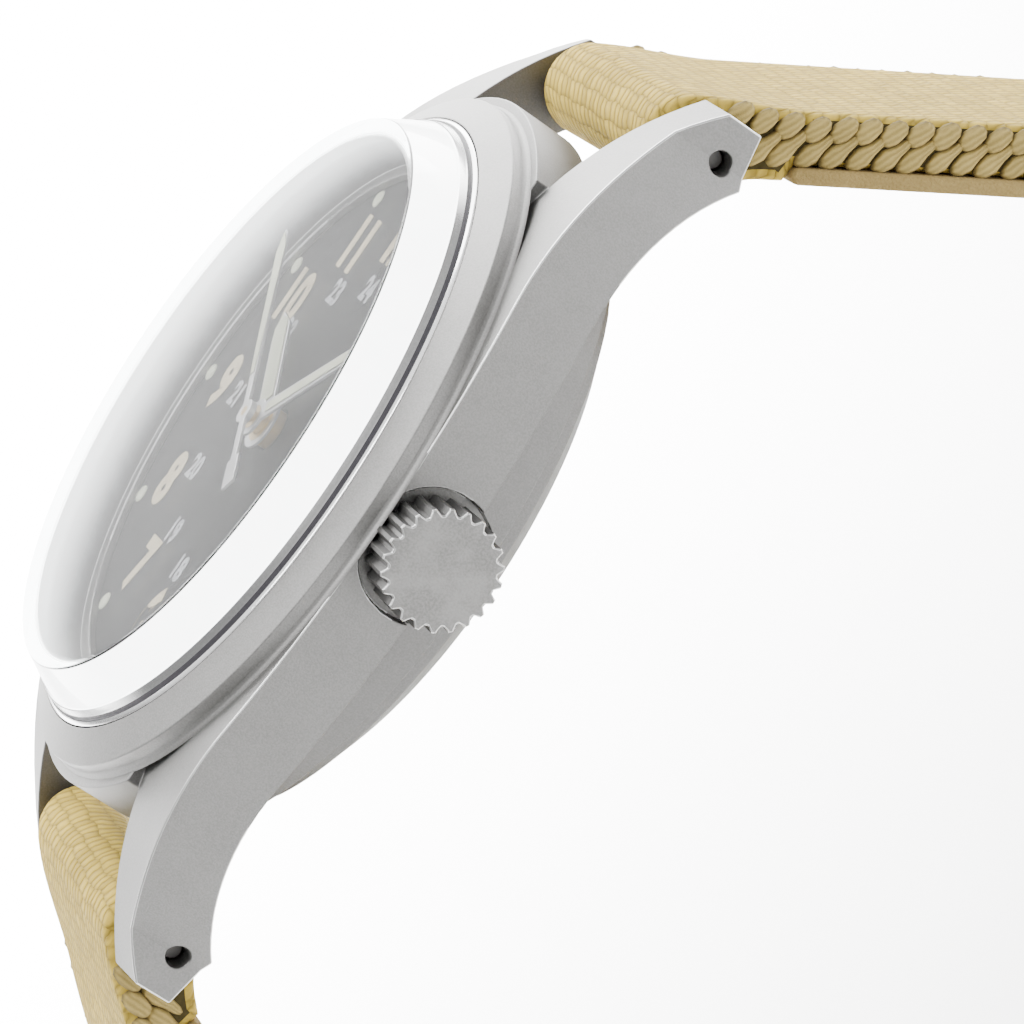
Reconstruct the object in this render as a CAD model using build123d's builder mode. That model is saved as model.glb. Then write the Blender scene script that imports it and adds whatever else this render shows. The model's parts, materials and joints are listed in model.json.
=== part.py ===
"""Field watch: a blasted steel case with drilled lugs, a hand-wound movement and a webbing strap.

Millimetres. The origin is the centre of the case back's outer face. +Z leaves the dial,
+Y points to 12 o'clock and +X to the crown at 3 o'clock.
"""
from build123d import *
from math import asin, atan2, cos, degrees, pi, radians, sin
import os

os.makedirs("parts", exist_ok=True)

# Shared clearances
running_gap = 0.05
loose_gap = 0.1
cut_overrun = 1.0

# Case middle with its lugs
lug_gap = 18.0
lug_reach = 22.95
lug_end_width = 2.3
lug_hole_setback = 1.98
lug_hole_height = 1.6
lug_hole_diameter = 1.09
lug_top_inner_height = 3.04
lug_top_outer_height = 0.95
lug_point_height = 0.67
lug_heel_setback = 2.55
lug_heel_height = 0.2
lug_shoulder_reach = 11.0
lug_arch_reach = 11.9
flank_half_width = 17.65
flank_foot_height = 3.7
drum_radius = 18.25
drum_foot_height = 4.4
band_radius = 17.2
band_foot_height = 2.1
shoulder_height = 7.35
bore_radius = 14.0
dial_lip_width = 0.55

# Bezel and crystal
bezel_radius = 17.63
bezel_bore_radius = 16.1
bezel_wall_height = 0.85
bezel_rise = 0.75
crystal_foot_width = 2.0
crystal_flank_height = 2.45
crystal_flank_inset = 1.55
crystal_wall = 1.4

# Case back
back_radius = 15.7
back_face_radius = 13.6
back_flange_height = 1.0
back_plate_thickness = 1.1
back_notch_width = 2.4
back_notch_depth = 0.9
back_notch_count = 6
back_skirt_width = 0.55
back_skirt_height = 0.85

# Crown, its tube and the stem
crown_axis_height = 4.7
crown_recess_radius = 3.03
crown_recess_depth = 0.8
crown_radius = 2.6
crown_tooth_depth = 0.36
crown_tooth_count = 26
crown_length = 3.15
crown_seat_gap = 0.15
crown_bore_radius = 1.35
crown_bore_depth = 1.95
tube_radius = 1.0
tube_reach = 1.4
stem_radius = 0.5
stem_inner_end = 5.7
stem_thread_length = 0.6
stem_groove_radius = 0.3
stem_groove_width = 0.65
crown_travel = 1.0

# Dial and hands
dial_thickness = 0.4
dial_drop = 0.4
dial_hole_radius = 1.1
hour_hand_length = 8.0
hour_hand_width = 1.35
minute_hand_length = 12.0
minute_hand_width = 1.0
seconds_hand_length = 13.0
seconds_hand_width = 0.42
seconds_tail_length = 5.0
seconds_tail_width = 0.9
hand_thickness = 0.16
hand_step = 0.5
hour_hub_radius = 1.3
minute_hub_radius = 0.95
seconds_hub_radius = 0.6
outer_pipe_radius = 0.95
inner_pipe_radius = 0.6
seconds_arbor_radius = 0.25
shown_hour_count = 10
shown_minute_count = 8
shown_second_count = 51

# Movement plates
mainplate_thickness = 1.6
motion_recess_depth = 0.6
motion_recess_radius = 12.4
train_space = 2.15
bridge_thickness = 0.6
bridge_setback = 1.3
post_width = 0.9
stem_lane_half = 1.45
bridge_line = 1.6
train_bridge_line = 1.4
train_bridge_edge = 0.4
cock_edge = 0.7
cock_line = -3.0
barrel_post_angles = (30.0, 150.0)
train_post_angles = (190.0, 240.0)
cock_post_angles = (275.0, 340.0)
arbor_radius = 0.3

# Going train: distances and radii
barrel_radius = 5.1
barrel_distance = 5.85
barrel_angle = 75.0
barrel_arbor_radius = 0.7
centre_wheel_radius = 3.65
third_distance = 4.25
third_angle = 200.0
third_wheel_radius = 3.65
fourth_wheel_radius = 3.45
escape_distance = 3.95
escape_angle = 260.0
escape_wheel_radius = 2.0
escape_tooth_depth = 0.5
escape_tooth_count = 15
fork_distance = 6.0
fork_angle = 283.0
fork_arm_width = 0.4
fork_hub_radius = 0.45
fork_lever_length = 1.9
fork_arm_length = 1.2
balance_distance = 8.2
balance_angle = 300.0
balance_radius = 3.6
balance_rim_width = 0.5
balance_arm_width = 0.5
hairspring_start = 0.5
hairspring_pitch = 0.34
hairspring_turns = 3
hairspring_steps = 12
hairspring_width = 0.12
minute_wheel_distance = 3.3
minute_wheel_angle = 40.0
minute_wheel_radius = 2.5
minute_pinion_radius = 0.6
hour_wheel_radius = 2.55
motion_wheel_thickness = 0.16

# Root of a tooth, as a share of the pitch after its tip
upright_root_share = 0.5
leaning_root_share = 0.2

# Winding work
ratchet_radius = 4.7
ratchet_thickness = 0.18
ratchet_tooth_count = 30
ratchet_tooth_depth = 0.3
crown_wheel_x = 8.6
crown_wheel_y = 3.7
crown_wheel_radius = 2.5
crown_wheel_boss = 1.5
crown_wheel_tooth_count = 18
click_x = -3.65
click_y = 6.9
click_length = 1.3
click_width = 0.5
winding_pinion_radius = 1.25
winding_pinion_start = 9.25
winding_pinion_length = 1.1
sliding_pinion_radius = 1.1
sliding_pinion_length = 1.4
setting_pin_x = 10.85
setting_arm = 2.2
setting_pin_radius = 0.25
setting_width = 0.8
setting_thickness = 0.18
setting_boss_radius = 0.45

# Spring bars
bar_radius = 0.75
bar_bore_radius = 0.52
bar_end_gap = 0.8
bar_tip_radius = 0.475
bar_tip_inner = 2.2
bar_tip_recess = 1.2

# Strap halves
strap_width = 17.6
webbing_thickness = 2.4
lining_thickness = 0.8
strap_outside = 2.0
roll_radius = 2.2
roll_lift = 0.5
bar_clearance = 0.05
lining_start = 4.5
floor_drop = 56.0
bend_radius = 16.0
twelve_heading = 60.0
twelve_flat = 8.0
six_heading = 40.0
six_first_bend_radius = 45.0
six_flat = 27.0
six_lining_flat = 1.5
tail_point = 5.0
tail_hole_radius = 0.9
tail_hole_count = 5
tail_hole_pitch = 4.4
tail_hole_start = 6.5

# Keepers and buckle
keeper_length = 4.5
keeper_wall = 1.0
keeper_side_gap = 0.2
keeper_strap_gap = 0.1
keeper_tail_room = 3.3
fixed_keeper_setback = 2.2
free_keeper_setback = 1.5
buckle_bar_radius = 0.75
buckle_bar_recess = 0.5
buckle_roll_radius = 1.6
buckle_reach = 10.0
buckle_rod = 2.0
buckle_thickness = 2.0
buckle_side_gap = 0.3
buckle_corner = 1.6
tongue_width = 1.8
tongue_thickness = 0.9
tongue_eye_radius = 1.35
tongue_slot_gap = 0.3
tongue_overhang = 0.9

# Heights and places worked out from the sizes above
movement_radius = bore_radius - running_gap
bridge_radius = bore_radius - bridge_setback
lug_hole_reach = lug_reach - lug_hole_setback
lug_heel_reach = lug_reach - lug_heel_setback
dial_top = shoulder_height - dial_drop
movement_top = dial_top - dial_thickness
plate_bottom = movement_top - mainplate_thickness
recess_floor = movement_top - motion_recess_depth
bridge_top = plate_bottom - train_space
bridge_bottom = bridge_top - bridge_thickness
bezel_edge_height = shoulder_height + bezel_wall_height
bezel_top = bezel_edge_height + bezel_rise
crystal_radius = bezel_bore_radius - running_gap
flank_top = bezel_top + crystal_flank_height
crystal_top = flank_top
crystal_ceiling = crystal_top - crystal_wall
recess_x = flank_half_width - crown_recess_depth
crown_x = recess_x + crown_seat_gap
half_gap = lug_gap / 2
floor_height = -floor_drop


# Shared shapes
def at_polar(distance, angle):
    """A point at a distance and an angle in degrees from the movement's centre."""
    return (distance * cos(radians(angle)), distance * sin(radians(angle)))


def train_level(share):
    """A height in the space between the bridges and the main plate."""
    return bridge_top + share * train_space


def turned(centre, steps, bore=0):
    """Coaxial discs, each a radius with its low and high end, with an optional bore through them."""
    low_end = min(low for radius, low, high in steps)
    high_end = max(high for radius, low, high in steps)
    with BuildPart() as piece:
        for radius, low, high in steps:
            with BuildSketch(Plane.XY.offset(low)):
                with Locations(centre):
                    Circle(radius)
            extrude(amount=high - low)
        if bore:
            with BuildSketch(Plane.XY.offset(low_end)):
                with Locations(centre):
                    Circle(bore)
            extrude(amount=high_end - low_end, mode=Mode.SUBTRACT)
    return piece.part


def toothed_points(radius, depth, count, root_share=upright_root_share):
    """Corners of a toothed outline: one tip and one root for each tooth."""
    points = []
    for tooth in range(count):
        tip = 2 * pi * tooth / count
        root = 2 * pi * (tooth + root_share) / count
        points.append((radius * cos(tip), radius * sin(tip)))
        points.append(((radius - depth) * cos(root), (radius - depth) * sin(root)))
    return points


def save(part, label):
    part.label = label
    export_step(part, f"parts/{label}.step")


# Case middle: a round drum and four lugs, clipped by the plan outline of the flanks
lug_outer = half_gap + lug_end_width
flank_sag = flank_half_width - lug_outer
flank_arc_radius = (lug_hole_reach**2 + flank_sag**2) / (2 * flank_sag)


def lug_lines(end):
    """Side view of a lug: a falling top, a short upright end, a heel and a hollow arch."""
    top_start = (end * lug_shoulder_reach, shoulder_height)
    tip = (end * lug_reach, lug_top_inner_height)
    point = (end * lug_reach, lug_point_height)
    heel = (end * lug_heel_reach, lug_heel_height)
    arch = (end * lug_arch_reach, flank_foot_height)
    Line((0, shoulder_height), top_start)
    TangentArc(top_start, tip, tangent=(end, 0))
    Line(tip, point)
    Line(point, heel)
    TangentArc(arch, heel, tangent=(end, 0))
    Line(arch, (0, flank_foot_height))
    Line((0, flank_foot_height), (0, shoulder_height))


def above_lug_lines(end, tip_height):
    """The space over a lug's falling top, down to a given height at the tip."""
    start = (end * lug_shoulder_reach, shoulder_height)
    tip = (end * lug_reach, tip_height)
    TangentArc(start, tip, tangent=(end, 0))
    Line(tip, (end * lug_reach, shoulder_height))
    Line((end * lug_reach, shoulder_height), start)


with BuildPart() as mid_case:
    with BuildSketch(Plane.XZ):
        with BuildLine():
            Polyline(
                (0, band_foot_height),
                (band_radius, band_foot_height),
                (band_radius, flank_foot_height),
                (drum_radius, drum_foot_height),
                (drum_radius, shoulder_height),
                (0, shoulder_height),
                close=True,
            )
        make_face()
    revolve(axis=Axis.Z)
    for side in (1, -1):
        with BuildSketch(Plane.YZ.offset(side * half_gap)):
            for end in (1, -1):
                with BuildLine():
                    lug_lines(end)
                make_face()
        extrude(amount=side * (flank_half_width - half_gap))
    # Plan outline: a long arc along each flank and a short straight at each lug end
    with BuildSketch(Plane.XY):
        for side in (1, -1):
            with BuildLine():
                Line((0, -lug_reach), (side * lug_outer, -lug_reach))
                Line((side * lug_outer, -lug_reach), (side * lug_outer, -lug_hole_reach))
                ThreePointArc(
                    (side * lug_outer, -lug_hole_reach),
                    (side * flank_half_width, 0),
                    (side * lug_outer, lug_hole_reach),
                )
                Line((side * lug_outer, lug_hole_reach), (side * lug_outer, lug_reach))
                Line((side * lug_outer, lug_reach), (0, lug_reach))
                Line((0, lug_reach), (0, -lug_reach))
            make_face()
    extrude(amount=shoulder_height, mode=Mode.INTERSECT)
    # Lug tops fall outwards towards the tips
    for side in (1, -1):
        for end in (1, -1):
            with BuildSketch(Plane.YZ.offset(side * half_gap)):
                with BuildLine():
                    above_lug_lines(end, lug_top_inner_height)
                make_face()
            with BuildSketch(Plane.YZ.offset(side * flank_half_width)):
                with BuildLine():
                    above_lug_lines(end, lug_top_outer_height)
                make_face()
            loft(ruled=True, mode=Mode.SUBTRACT)
    # Bores along the dial axis: the movement's, and a narrower one through the lip over the dial
    with BuildSketch(Plane.XY):
        Circle(bore_radius)
    extrude(amount=dial_top, mode=Mode.SUBTRACT)
    with BuildSketch(Plane.XY.offset(dial_top)):
        Circle(bore_radius - dial_lip_width)
    extrude(amount=shoulder_height - dial_top, mode=Mode.SUBTRACT)
    # Crown recess, tube hole and the drilled lugs
    with BuildSketch(Plane.YZ.offset(recess_x)):
        with Locations((0, crown_axis_height)):
            Circle(crown_recess_radius)
    extrude(amount=crown_recess_depth + cut_overrun, mode=Mode.SUBTRACT)
    with BuildSketch(Plane.YZ):
        with Locations((0, crown_axis_height)):
            Circle(tube_radius)
    extrude(amount=recess_x, mode=Mode.SUBTRACT)
    with BuildSketch(Plane.YZ.offset(-lug_outer - cut_overrun)):
        with Locations((lug_hole_reach, lug_hole_height), (-lug_hole_reach, lug_hole_height)):
            Circle(lug_hole_diameter / 2)
    extrude(amount=2 * (lug_outer + cut_overrun), mode=Mode.SUBTRACT)
save(mid_case.part, "mid_case")

with BuildPart() as bezel:
    with BuildSketch(Plane.XZ):
        with BuildLine():
            Polyline(
                (bezel_bore_radius, shoulder_height),
                (bezel_radius, shoulder_height),
                (bezel_radius, bezel_edge_height),
                (bezel_bore_radius, bezel_top),
                close=True,
            )
        make_face()
    revolve(axis=Axis.Z)
save(bezel.part, "bezel")

# Crystal: an upright foot, a leaning flank and a flat top, hollow below
crystal_inner = crystal_radius - crystal_foot_width
with BuildPart() as crystal:
    with BuildSketch(Plane.XZ):
        with BuildLine():
            Polyline(
                (crystal_inner, shoulder_height),
                (crystal_radius, shoulder_height),
                (crystal_radius, bezel_top),
                (crystal_radius - crystal_flank_inset, crystal_top),
                (0, crystal_top),
                (0, crystal_ceiling),
                (crystal_inner, crystal_ceiling),
                close=True,
            )
        make_face()
    revolve(axis=Axis.Z)
save(crystal.part, "crystal")

with BuildPart() as dial:
    with BuildSketch(Plane.XY.offset(movement_top)):
        Circle(bore_radius - running_gap)
        Circle(dial_hole_radius, mode=Mode.SUBTRACT)
    extrude(amount=dial_thickness)
save(dial.part, "dial")

# Case back: a screwed cover with key notches round its flange
back_skirt_outer = bore_radius - running_gap
back_skirt_inner = back_skirt_outer - back_skirt_width
with BuildPart() as case_back:
    with BuildSketch(Plane.XZ):
        with BuildLine():
            Polyline(
                (0, 0),
                (back_face_radius, 0),
                (back_radius, band_foot_height - back_flange_height),
                (back_radius, band_foot_height),
                (back_skirt_outer, band_foot_height),
                (back_skirt_outer, band_foot_height + back_skirt_height),
                (back_skirt_inner, band_foot_height + back_skirt_height),
                (back_skirt_inner, back_plate_thickness),
                (0, back_plate_thickness),
                close=True,
            )
        make_face()
    revolve(axis=Axis.Z)
    with BuildSketch(Plane.XY):
        with PolarLocations(back_radius, back_notch_count):
            Rectangle(2 * back_notch_depth, back_notch_width)
    extrude(amount=back_plate_thickness, mode=Mode.SUBTRACT)
save(case_back.part, "case_back")

# Crown with a coin edge, bored for its tube, and the stem that it is screwed on
with BuildPart() as crown:
    with BuildSketch(Plane.YZ.offset(crown_x)):
        with Locations((0, crown_axis_height)):
            Polygon(
                *toothed_points(crown_radius, crown_tooth_depth, crown_tooth_count), align=None
            )
    extrude(amount=crown_length)
    with BuildSketch(Plane.YZ.offset(crown_x)):
        with Locations((0, crown_axis_height)):
            Circle(crown_bore_radius)
    extrude(amount=crown_bore_depth, mode=Mode.SUBTRACT)
    with BuildSketch(Plane.YZ.offset(crown_x + crown_bore_depth)):
        with Locations((0, crown_axis_height)):
            Circle(stem_radius)
    extrude(amount=stem_thread_length, mode=Mode.SUBTRACT)
save(crown.part, "crown")

tube_end = recess_x + tube_reach
with BuildPart() as crown_tube:
    with BuildSketch(Plane.YZ.offset(bore_radius + running_gap)):
        with Locations((0, crown_axis_height)):
            Circle(tube_radius)
            Circle(stem_radius + running_gap, mode=Mode.SUBTRACT)
    extrude(amount=tube_end - bore_radius - running_gap)
save(crown_tube.part, "crown_tube")

stem_end = crown_x + crown_bore_depth + stem_thread_length
groove_start = setting_pin_x - stem_groove_width / 2
with BuildPart() as stem:
    with BuildSketch(Plane.YZ.offset(stem_inner_end)):
        with Locations((0, crown_axis_height)):
            Circle(stem_radius)
    extrude(amount=stem_end - stem_inner_end)
    with BuildSketch(Plane.YZ.offset(groove_start)):
        with Locations((0, crown_axis_height)):
            Circle(stem_radius)
            Circle(stem_groove_radius, mode=Mode.SUBTRACT)
    extrude(amount=stem_groove_width, mode=Mode.SUBTRACT)
save(stem.part, "stem")


def pinion_on_stem(start, length, radius):
    """A collar that runs on the stem."""
    with BuildPart() as piece:
        with BuildSketch(Plane.YZ.offset(start)):
            with Locations((0, crown_axis_height)):
                Circle(radius)
                Circle(stem_radius + running_gap, mode=Mode.SUBTRACT)
        extrude(amount=length)
    return piece.part


save(pinion_on_stem(winding_pinion_start, winding_pinion_length, winding_pinion_radius), "winding_pinion")
sliding_pinion_start = winding_pinion_start - running_gap - sliding_pinion_length
save(pinion_on_stem(sliding_pinion_start, sliding_pinion_length, sliding_pinion_radius), "sliding_pinion")

# Hands, set on their pipes at the photographed time
second_angle = 6 * shown_second_count
minute_angle = 6 * (shown_minute_count + shown_second_count / 60)
hour_angle = 30 * (shown_hour_count + shown_minute_count / 60 + shown_second_count / 3600)
hour_hand_height = dial_top + hand_step
minute_hand_height = hour_hand_height + hand_step
seconds_hand_height = minute_hand_height + hand_step


def hand_plane(height, clock_angle):
    """A plane whose local +Y points at an angle clockwise from 12 o'clock."""
    return Plane.XY.offset(height).rotated((0, 0, -clock_angle))


def baton_hand(height, clock_angle, length, width, hub_radius, pipe_radius):
    """A parallel hand with a short point, a round hub and a hole for its pipe."""
    with BuildPart() as piece:
        with BuildSketch(hand_plane(height, clock_angle)):
            with BuildLine():
                Polyline(
                    (-width / 2, 0),
                    (-width / 2, length - width),
                    (0, length),
                    (width / 2, length - width),
                    (width / 2, 0),
                    close=True,
                )
            make_face()
            Circle(hub_radius)
            Circle(pipe_radius, mode=Mode.SUBTRACT)
        extrude(amount=hand_thickness)
    return piece.part


save(
    baton_hand(
        hour_hand_height, hour_angle, hour_hand_length, hour_hand_width, hour_hub_radius, outer_pipe_radius
    ),
    "hour_hand",
)
save(
    baton_hand(
        minute_hand_height,
        minute_angle,
        minute_hand_length,
        minute_hand_width,
        minute_hub_radius,
        inner_pipe_radius,
    ),
    "minute_hand",
)

with BuildPart() as seconds_hand:
    with BuildSketch(hand_plane(seconds_hand_height, second_angle)):
        with BuildLine():
            Polyline(
                (-seconds_hand_width / 2, -seconds_tail_length),
                (-seconds_hand_width / 2, seconds_hand_length - seconds_hand_width),
                (0, seconds_hand_length),
                (seconds_hand_width / 2, seconds_hand_length - seconds_hand_width),
                (seconds_hand_width / 2, -seconds_tail_length),
                close=True,
            )
        make_face()
        with Locations((0, seconds_tail_width - seconds_tail_length)):
            Rectangle(seconds_tail_width, 2 * seconds_tail_width)
        Circle(seconds_hub_radius)
    extrude(amount=hand_thickness)
    with BuildSketch(Plane.XY.offset(seconds_hand_height - hand_thickness)):
        Circle(seconds_hub_radius)
    extrude(amount=hand_thickness)
    with BuildSketch(Plane.XY.offset(seconds_hand_height - hand_thickness)):
        Circle(seconds_arbor_radius)
    extrude(amount=2 * hand_thickness, mode=Mode.SUBTRACT)
save(seconds_hand.part, "seconds_hand")

# Going train, each wheel at its own level between the bridges and the main plate
level_shares = {
    "fourth_wheel": (0.07, 0.14),
    "third_wheel": (0.24, 0.31),
    "barrel": (0.42, 0.79),
    "escape_wheel": (0.51, 0.58),
    "centre_wheel": (0.84, 0.91),
    "pallet_bridge": (0.30, 0.42),
    "balance": (0.10, 0.21),
    "hairspring": (0.02, 0.06),
}


def levels(name):
    """Low and high end of a wheel's rim."""
    low_share, high_share = level_shares[name]
    return train_level(low_share), train_level(high_share)


barrel_centre = at_polar(barrel_distance, barrel_angle)
third_centre = at_polar(third_distance, third_angle)
escape_centre = at_polar(escape_distance, escape_angle)
fork_centre = at_polar(fork_distance, fork_angle)
balance_centre = at_polar(balance_distance, balance_angle)
minute_wheel_centre = at_polar(minute_wheel_distance, minute_wheel_angle)
ratchet_low = bridge_bottom - ratchet_thickness
arbor_low = bridge_top + running_gap
arbor_high = plate_bottom - running_gap
cannon_low = recess_floor + running_gap
hour_wheel_low = cannon_low + motion_wheel_thickness + running_gap
minute_pipe_top = minute_hand_height + hand_thickness
hour_pipe_top = hour_hand_height + hand_thickness
minute_bore = seconds_arbor_radius + running_gap
hour_bore = inner_pipe_radius + running_gap

save(
    turned(barrel_centre, [(barrel_radius, *levels("barrel"))], bore=barrel_arbor_radius + running_gap),
    "barrel",
)
save(
    turned(barrel_centre, [(barrel_arbor_radius, ratchet_low, plate_bottom)]),
    "barrel_arbor",
)
save(
    turned(
        (0, 0),
        [
            (centre_wheel_radius, *levels("centre_wheel")),
            (inner_pipe_radius, levels("barrel")[0], cannon_low),
        ],
        bore=minute_bore,
    ),
    "centre_wheel",
)
save(
    turned(
        (0, 0),
        [
            (inner_pipe_radius, cannon_low, minute_pipe_top),
        ],
        bore=minute_bore,
    ),
    "cannon_pinion",
)
save(
    turned(
        (0, 0),
        [
            (hour_wheel_radius, hour_wheel_low, hour_wheel_low + motion_wheel_thickness),
            (outer_pipe_radius, hour_wheel_low, hour_pipe_top),
        ],
        bore=hour_bore,
    ),
    "hour_wheel",
)
save(
    turned(
        minute_wheel_centre,
        [
            (minute_wheel_radius, cannon_low, cannon_low + motion_wheel_thickness),
            (minute_pinion_radius, cannon_low, hour_wheel_low + motion_wheel_thickness),
        ],
    ),
    "minute_wheel",
)
save(
    turned(
        third_centre,
        [
            (third_wheel_radius, *levels("third_wheel")),
            (arbor_radius, arbor_low, arbor_high),
        ],
    ),
    "third_wheel",
)
save(
    turned(
        (0, 0),
        [
            (fourth_wheel_radius, *levels("fourth_wheel")),
            (seconds_arbor_radius, arbor_low, seconds_hand_height + hand_thickness),
        ],
    ),
    "fourth_wheel",
)

with BuildPart() as escape_wheel:
    with BuildSketch(Plane.XY.offset(levels("escape_wheel")[0])):
        with Locations(escape_centre):
            Polygon(
                *toothed_points(
                    escape_wheel_radius, escape_tooth_depth, escape_tooth_count, leaning_root_share
                ),
                align=None,
            )
    extrude(amount=levels("escape_wheel")[1] - levels("escape_wheel")[0])
    with BuildSketch(Plane.XY.offset(arbor_low)):
        with Locations(escape_centre):
            Circle(arbor_radius)
    extrude(amount=arbor_high - arbor_low)
save(escape_wheel.part, "escape_wheel")

# Pallet fork: two short arms over the escape wheel and a lever towards the balance
fork_low = levels("escape_wheel")[0]
fork_high = levels("escape_wheel")[1]
fork_to_balance = Vector(*balance_centre) - Vector(*fork_centre)
fork_plane = Plane(origin=(*fork_centre, fork_low), x_dir=fork_to_balance)
with BuildPart() as pallet_fork:
    with BuildSketch(fork_plane):
        Circle(fork_hub_radius)
        with Locations((fork_lever_length / 2, 0)):
            Rectangle(fork_lever_length, fork_arm_width)
        Rectangle(fork_arm_width, 2 * fork_arm_length)
    extrude(amount=fork_high - fork_low)
    with BuildSketch(Plane.XY.offset(levels("pallet_bridge")[1] + running_gap)):
        with Locations(fork_centre):
            Circle(arbor_radius)
    extrude(amount=arbor_high - levels("pallet_bridge")[1] - running_gap)
save(pallet_fork.part, "pallet_fork")

balance_low, balance_high = levels("balance")
with BuildPart() as balance_wheel:
    with BuildSketch(Plane.XY.offset(balance_low)):
        with Locations(balance_centre):
            Circle(balance_radius)
            Circle(balance_radius - balance_rim_width, mode=Mode.SUBTRACT)
            Rectangle(2 * balance_radius - balance_rim_width, balance_arm_width)
    extrude(amount=balance_high - balance_low)
    with BuildSketch(Plane.XY.offset(arbor_low)):
        with Locations(balance_centre):
            Circle(arbor_radius)
    extrude(amount=arbor_high - arbor_low)
save(balance_wheel.part, "balance_wheel")


def spiral_edge(offset):
    """Points along one side of the flat spiral of the hairspring."""
    points = []
    for step in range(hairspring_turns * hairspring_steps + 1):
        angle = 2 * pi * step / hairspring_steps
        radius = hairspring_start + hairspring_pitch * step / hairspring_steps + offset
        points.append((radius * cos(angle), radius * sin(angle)))
    return points


with BuildPart() as hairspring:
    with BuildSketch(Plane.XY.offset(levels("hairspring")[0])):
        with Locations(balance_centre):
            outer_side = spiral_edge(hairspring_width / 2)
            inner_side = spiral_edge(-hairspring_width / 2)
            Polygon(*outer_side, *reversed(inner_side), align=None)
    extrude(amount=levels("hairspring")[1] - levels("hairspring")[0])
save(hairspring.part, "hairspring")

# Main plate, open on the dial side for the motion work and along the stem
stem_lane_start = stem_inner_end - loose_gap
stem_lane_end = setting_pin_x + crown_travel + setting_pin_radius + loose_gap
with BuildPart() as mainplate:
    with BuildSketch(Plane.XY.offset(plate_bottom)):
        Circle(movement_radius)
    extrude(amount=mainplate_thickness)
    with BuildSketch(Plane.XY.offset(recess_floor)):
        Circle(motion_recess_radius)
    extrude(amount=motion_recess_depth, mode=Mode.SUBTRACT)
    with BuildSketch(Plane.XY.offset(plate_bottom)):
        Circle(inner_pipe_radius + running_gap)
        with Locations(((stem_lane_start + stem_lane_end) / 2, 0)):
            Rectangle(stem_lane_end - stem_lane_start, 2 * stem_lane_half)
    extrude(amount=mainplate_thickness, mode=Mode.SUBTRACT)
    with BuildSketch(Plane.YZ):
        with Locations((0, crown_axis_height)):
            Circle(stem_radius + running_gap)
    extrude(amount=movement_radius, mode=Mode.SUBTRACT)
save(mainplate.part, "mainplate")


def bridge(region, holes, post_angles):
    """A bridge plate with posts up to the main plate, cut to its own region of the movement."""
    low_x, high_x, low_y, high_y = region
    with BuildPart() as piece:
        with BuildSketch(Plane.XY.offset(bridge_bottom)):
            Circle(bridge_radius)
        extrude(amount=bridge_thickness)
        with BuildSketch(Plane.XY.offset(bridge_bottom)):
            with Locations(((low_x + high_x) / 2, (low_y + high_y) / 2)):
                Rectangle(high_x - low_x, high_y - low_y)
        extrude(amount=bridge_thickness, mode=Mode.INTERSECT)
        for angle in post_angles:
            with BuildSketch(Plane.XY.offset(bridge_top)):
                with Locations(at_polar(bridge_radius - post_width, angle)):
                    Rectangle(post_width, post_width)
            extrude(amount=train_space)
        for centre, radius in holes:
            with BuildSketch(Plane.XY.offset(bridge_bottom)):
                with Locations(centre):
                    Circle(radius)
            extrude(amount=bridge_thickness, mode=Mode.SUBTRACT)
    return piece.part


crown_wheel_centre = (crown_wheel_x, crown_wheel_y)
save(
    bridge(
        (-bridge_radius, bridge_radius, bridge_line, bridge_radius),
        [
            (barrel_centre, barrel_arbor_radius + running_gap),
            (crown_wheel_centre, crown_wheel_boss + running_gap),
        ],
        barrel_post_angles,
    ),
    "barrel_bridge",
)
save(
    bridge(
        (-bridge_radius, train_bridge_edge, -bridge_radius, train_bridge_line),
        [],
        train_post_angles,
    ),
    "train_bridge",
)
save(
    bridge(
        (cock_edge, bridge_radius, -bridge_radius, cock_line),
        [],
        cock_post_angles,
    ),
    "balance_cock",
)

pallet_bridge_low, pallet_bridge_high = levels("pallet_bridge")
with BuildPart() as pallet_bridge:
    with BuildSketch(Plane.XY.offset(pallet_bridge_low)):
        with Locations(fork_centre):
            Rectangle(4 * fork_hub_radius, 2 * fork_hub_radius)
    extrude(amount=pallet_bridge_high - pallet_bridge_low)
save(pallet_bridge.part, "pallet_bridge")

with BuildPart() as ratchet_wheel:
    with BuildSketch(Plane.XY.offset(ratchet_low)):
        with Locations(barrel_centre):
            Polygon(
                *toothed_points(
                    ratchet_radius, ratchet_tooth_depth, ratchet_tooth_count, leaning_root_share
                ),
                align=None,
            )
            Circle(barrel_arbor_radius, mode=Mode.SUBTRACT)
    extrude(amount=ratchet_thickness)
save(ratchet_wheel.part, "ratchet_wheel")

with BuildPart() as crown_wheel:
    with BuildSketch(Plane.XY.offset(ratchet_low)):
        with Locations(crown_wheel_centre):
            Polygon(
                *toothed_points(crown_wheel_radius, ratchet_tooth_depth, crown_wheel_tooth_count), align=None
            )
    extrude(amount=ratchet_thickness)
    with BuildSketch(Plane.XY.offset(bridge_bottom)):
        with Locations(crown_wheel_centre):
            Circle(crown_wheel_boss)
    extrude(amount=bridge_thickness + running_gap)
save(crown_wheel.part, "crown_wheel")

with BuildPart() as click:
    with BuildSketch(Plane.XY.offset(ratchet_low)):
        with Locations((click_x, click_y)):
            Circle(click_width)
            with Locations((0, -click_length / 2)):
                Rectangle(click_width, click_length)
    extrude(amount=ratchet_thickness)
save(click.part, "click")

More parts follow.
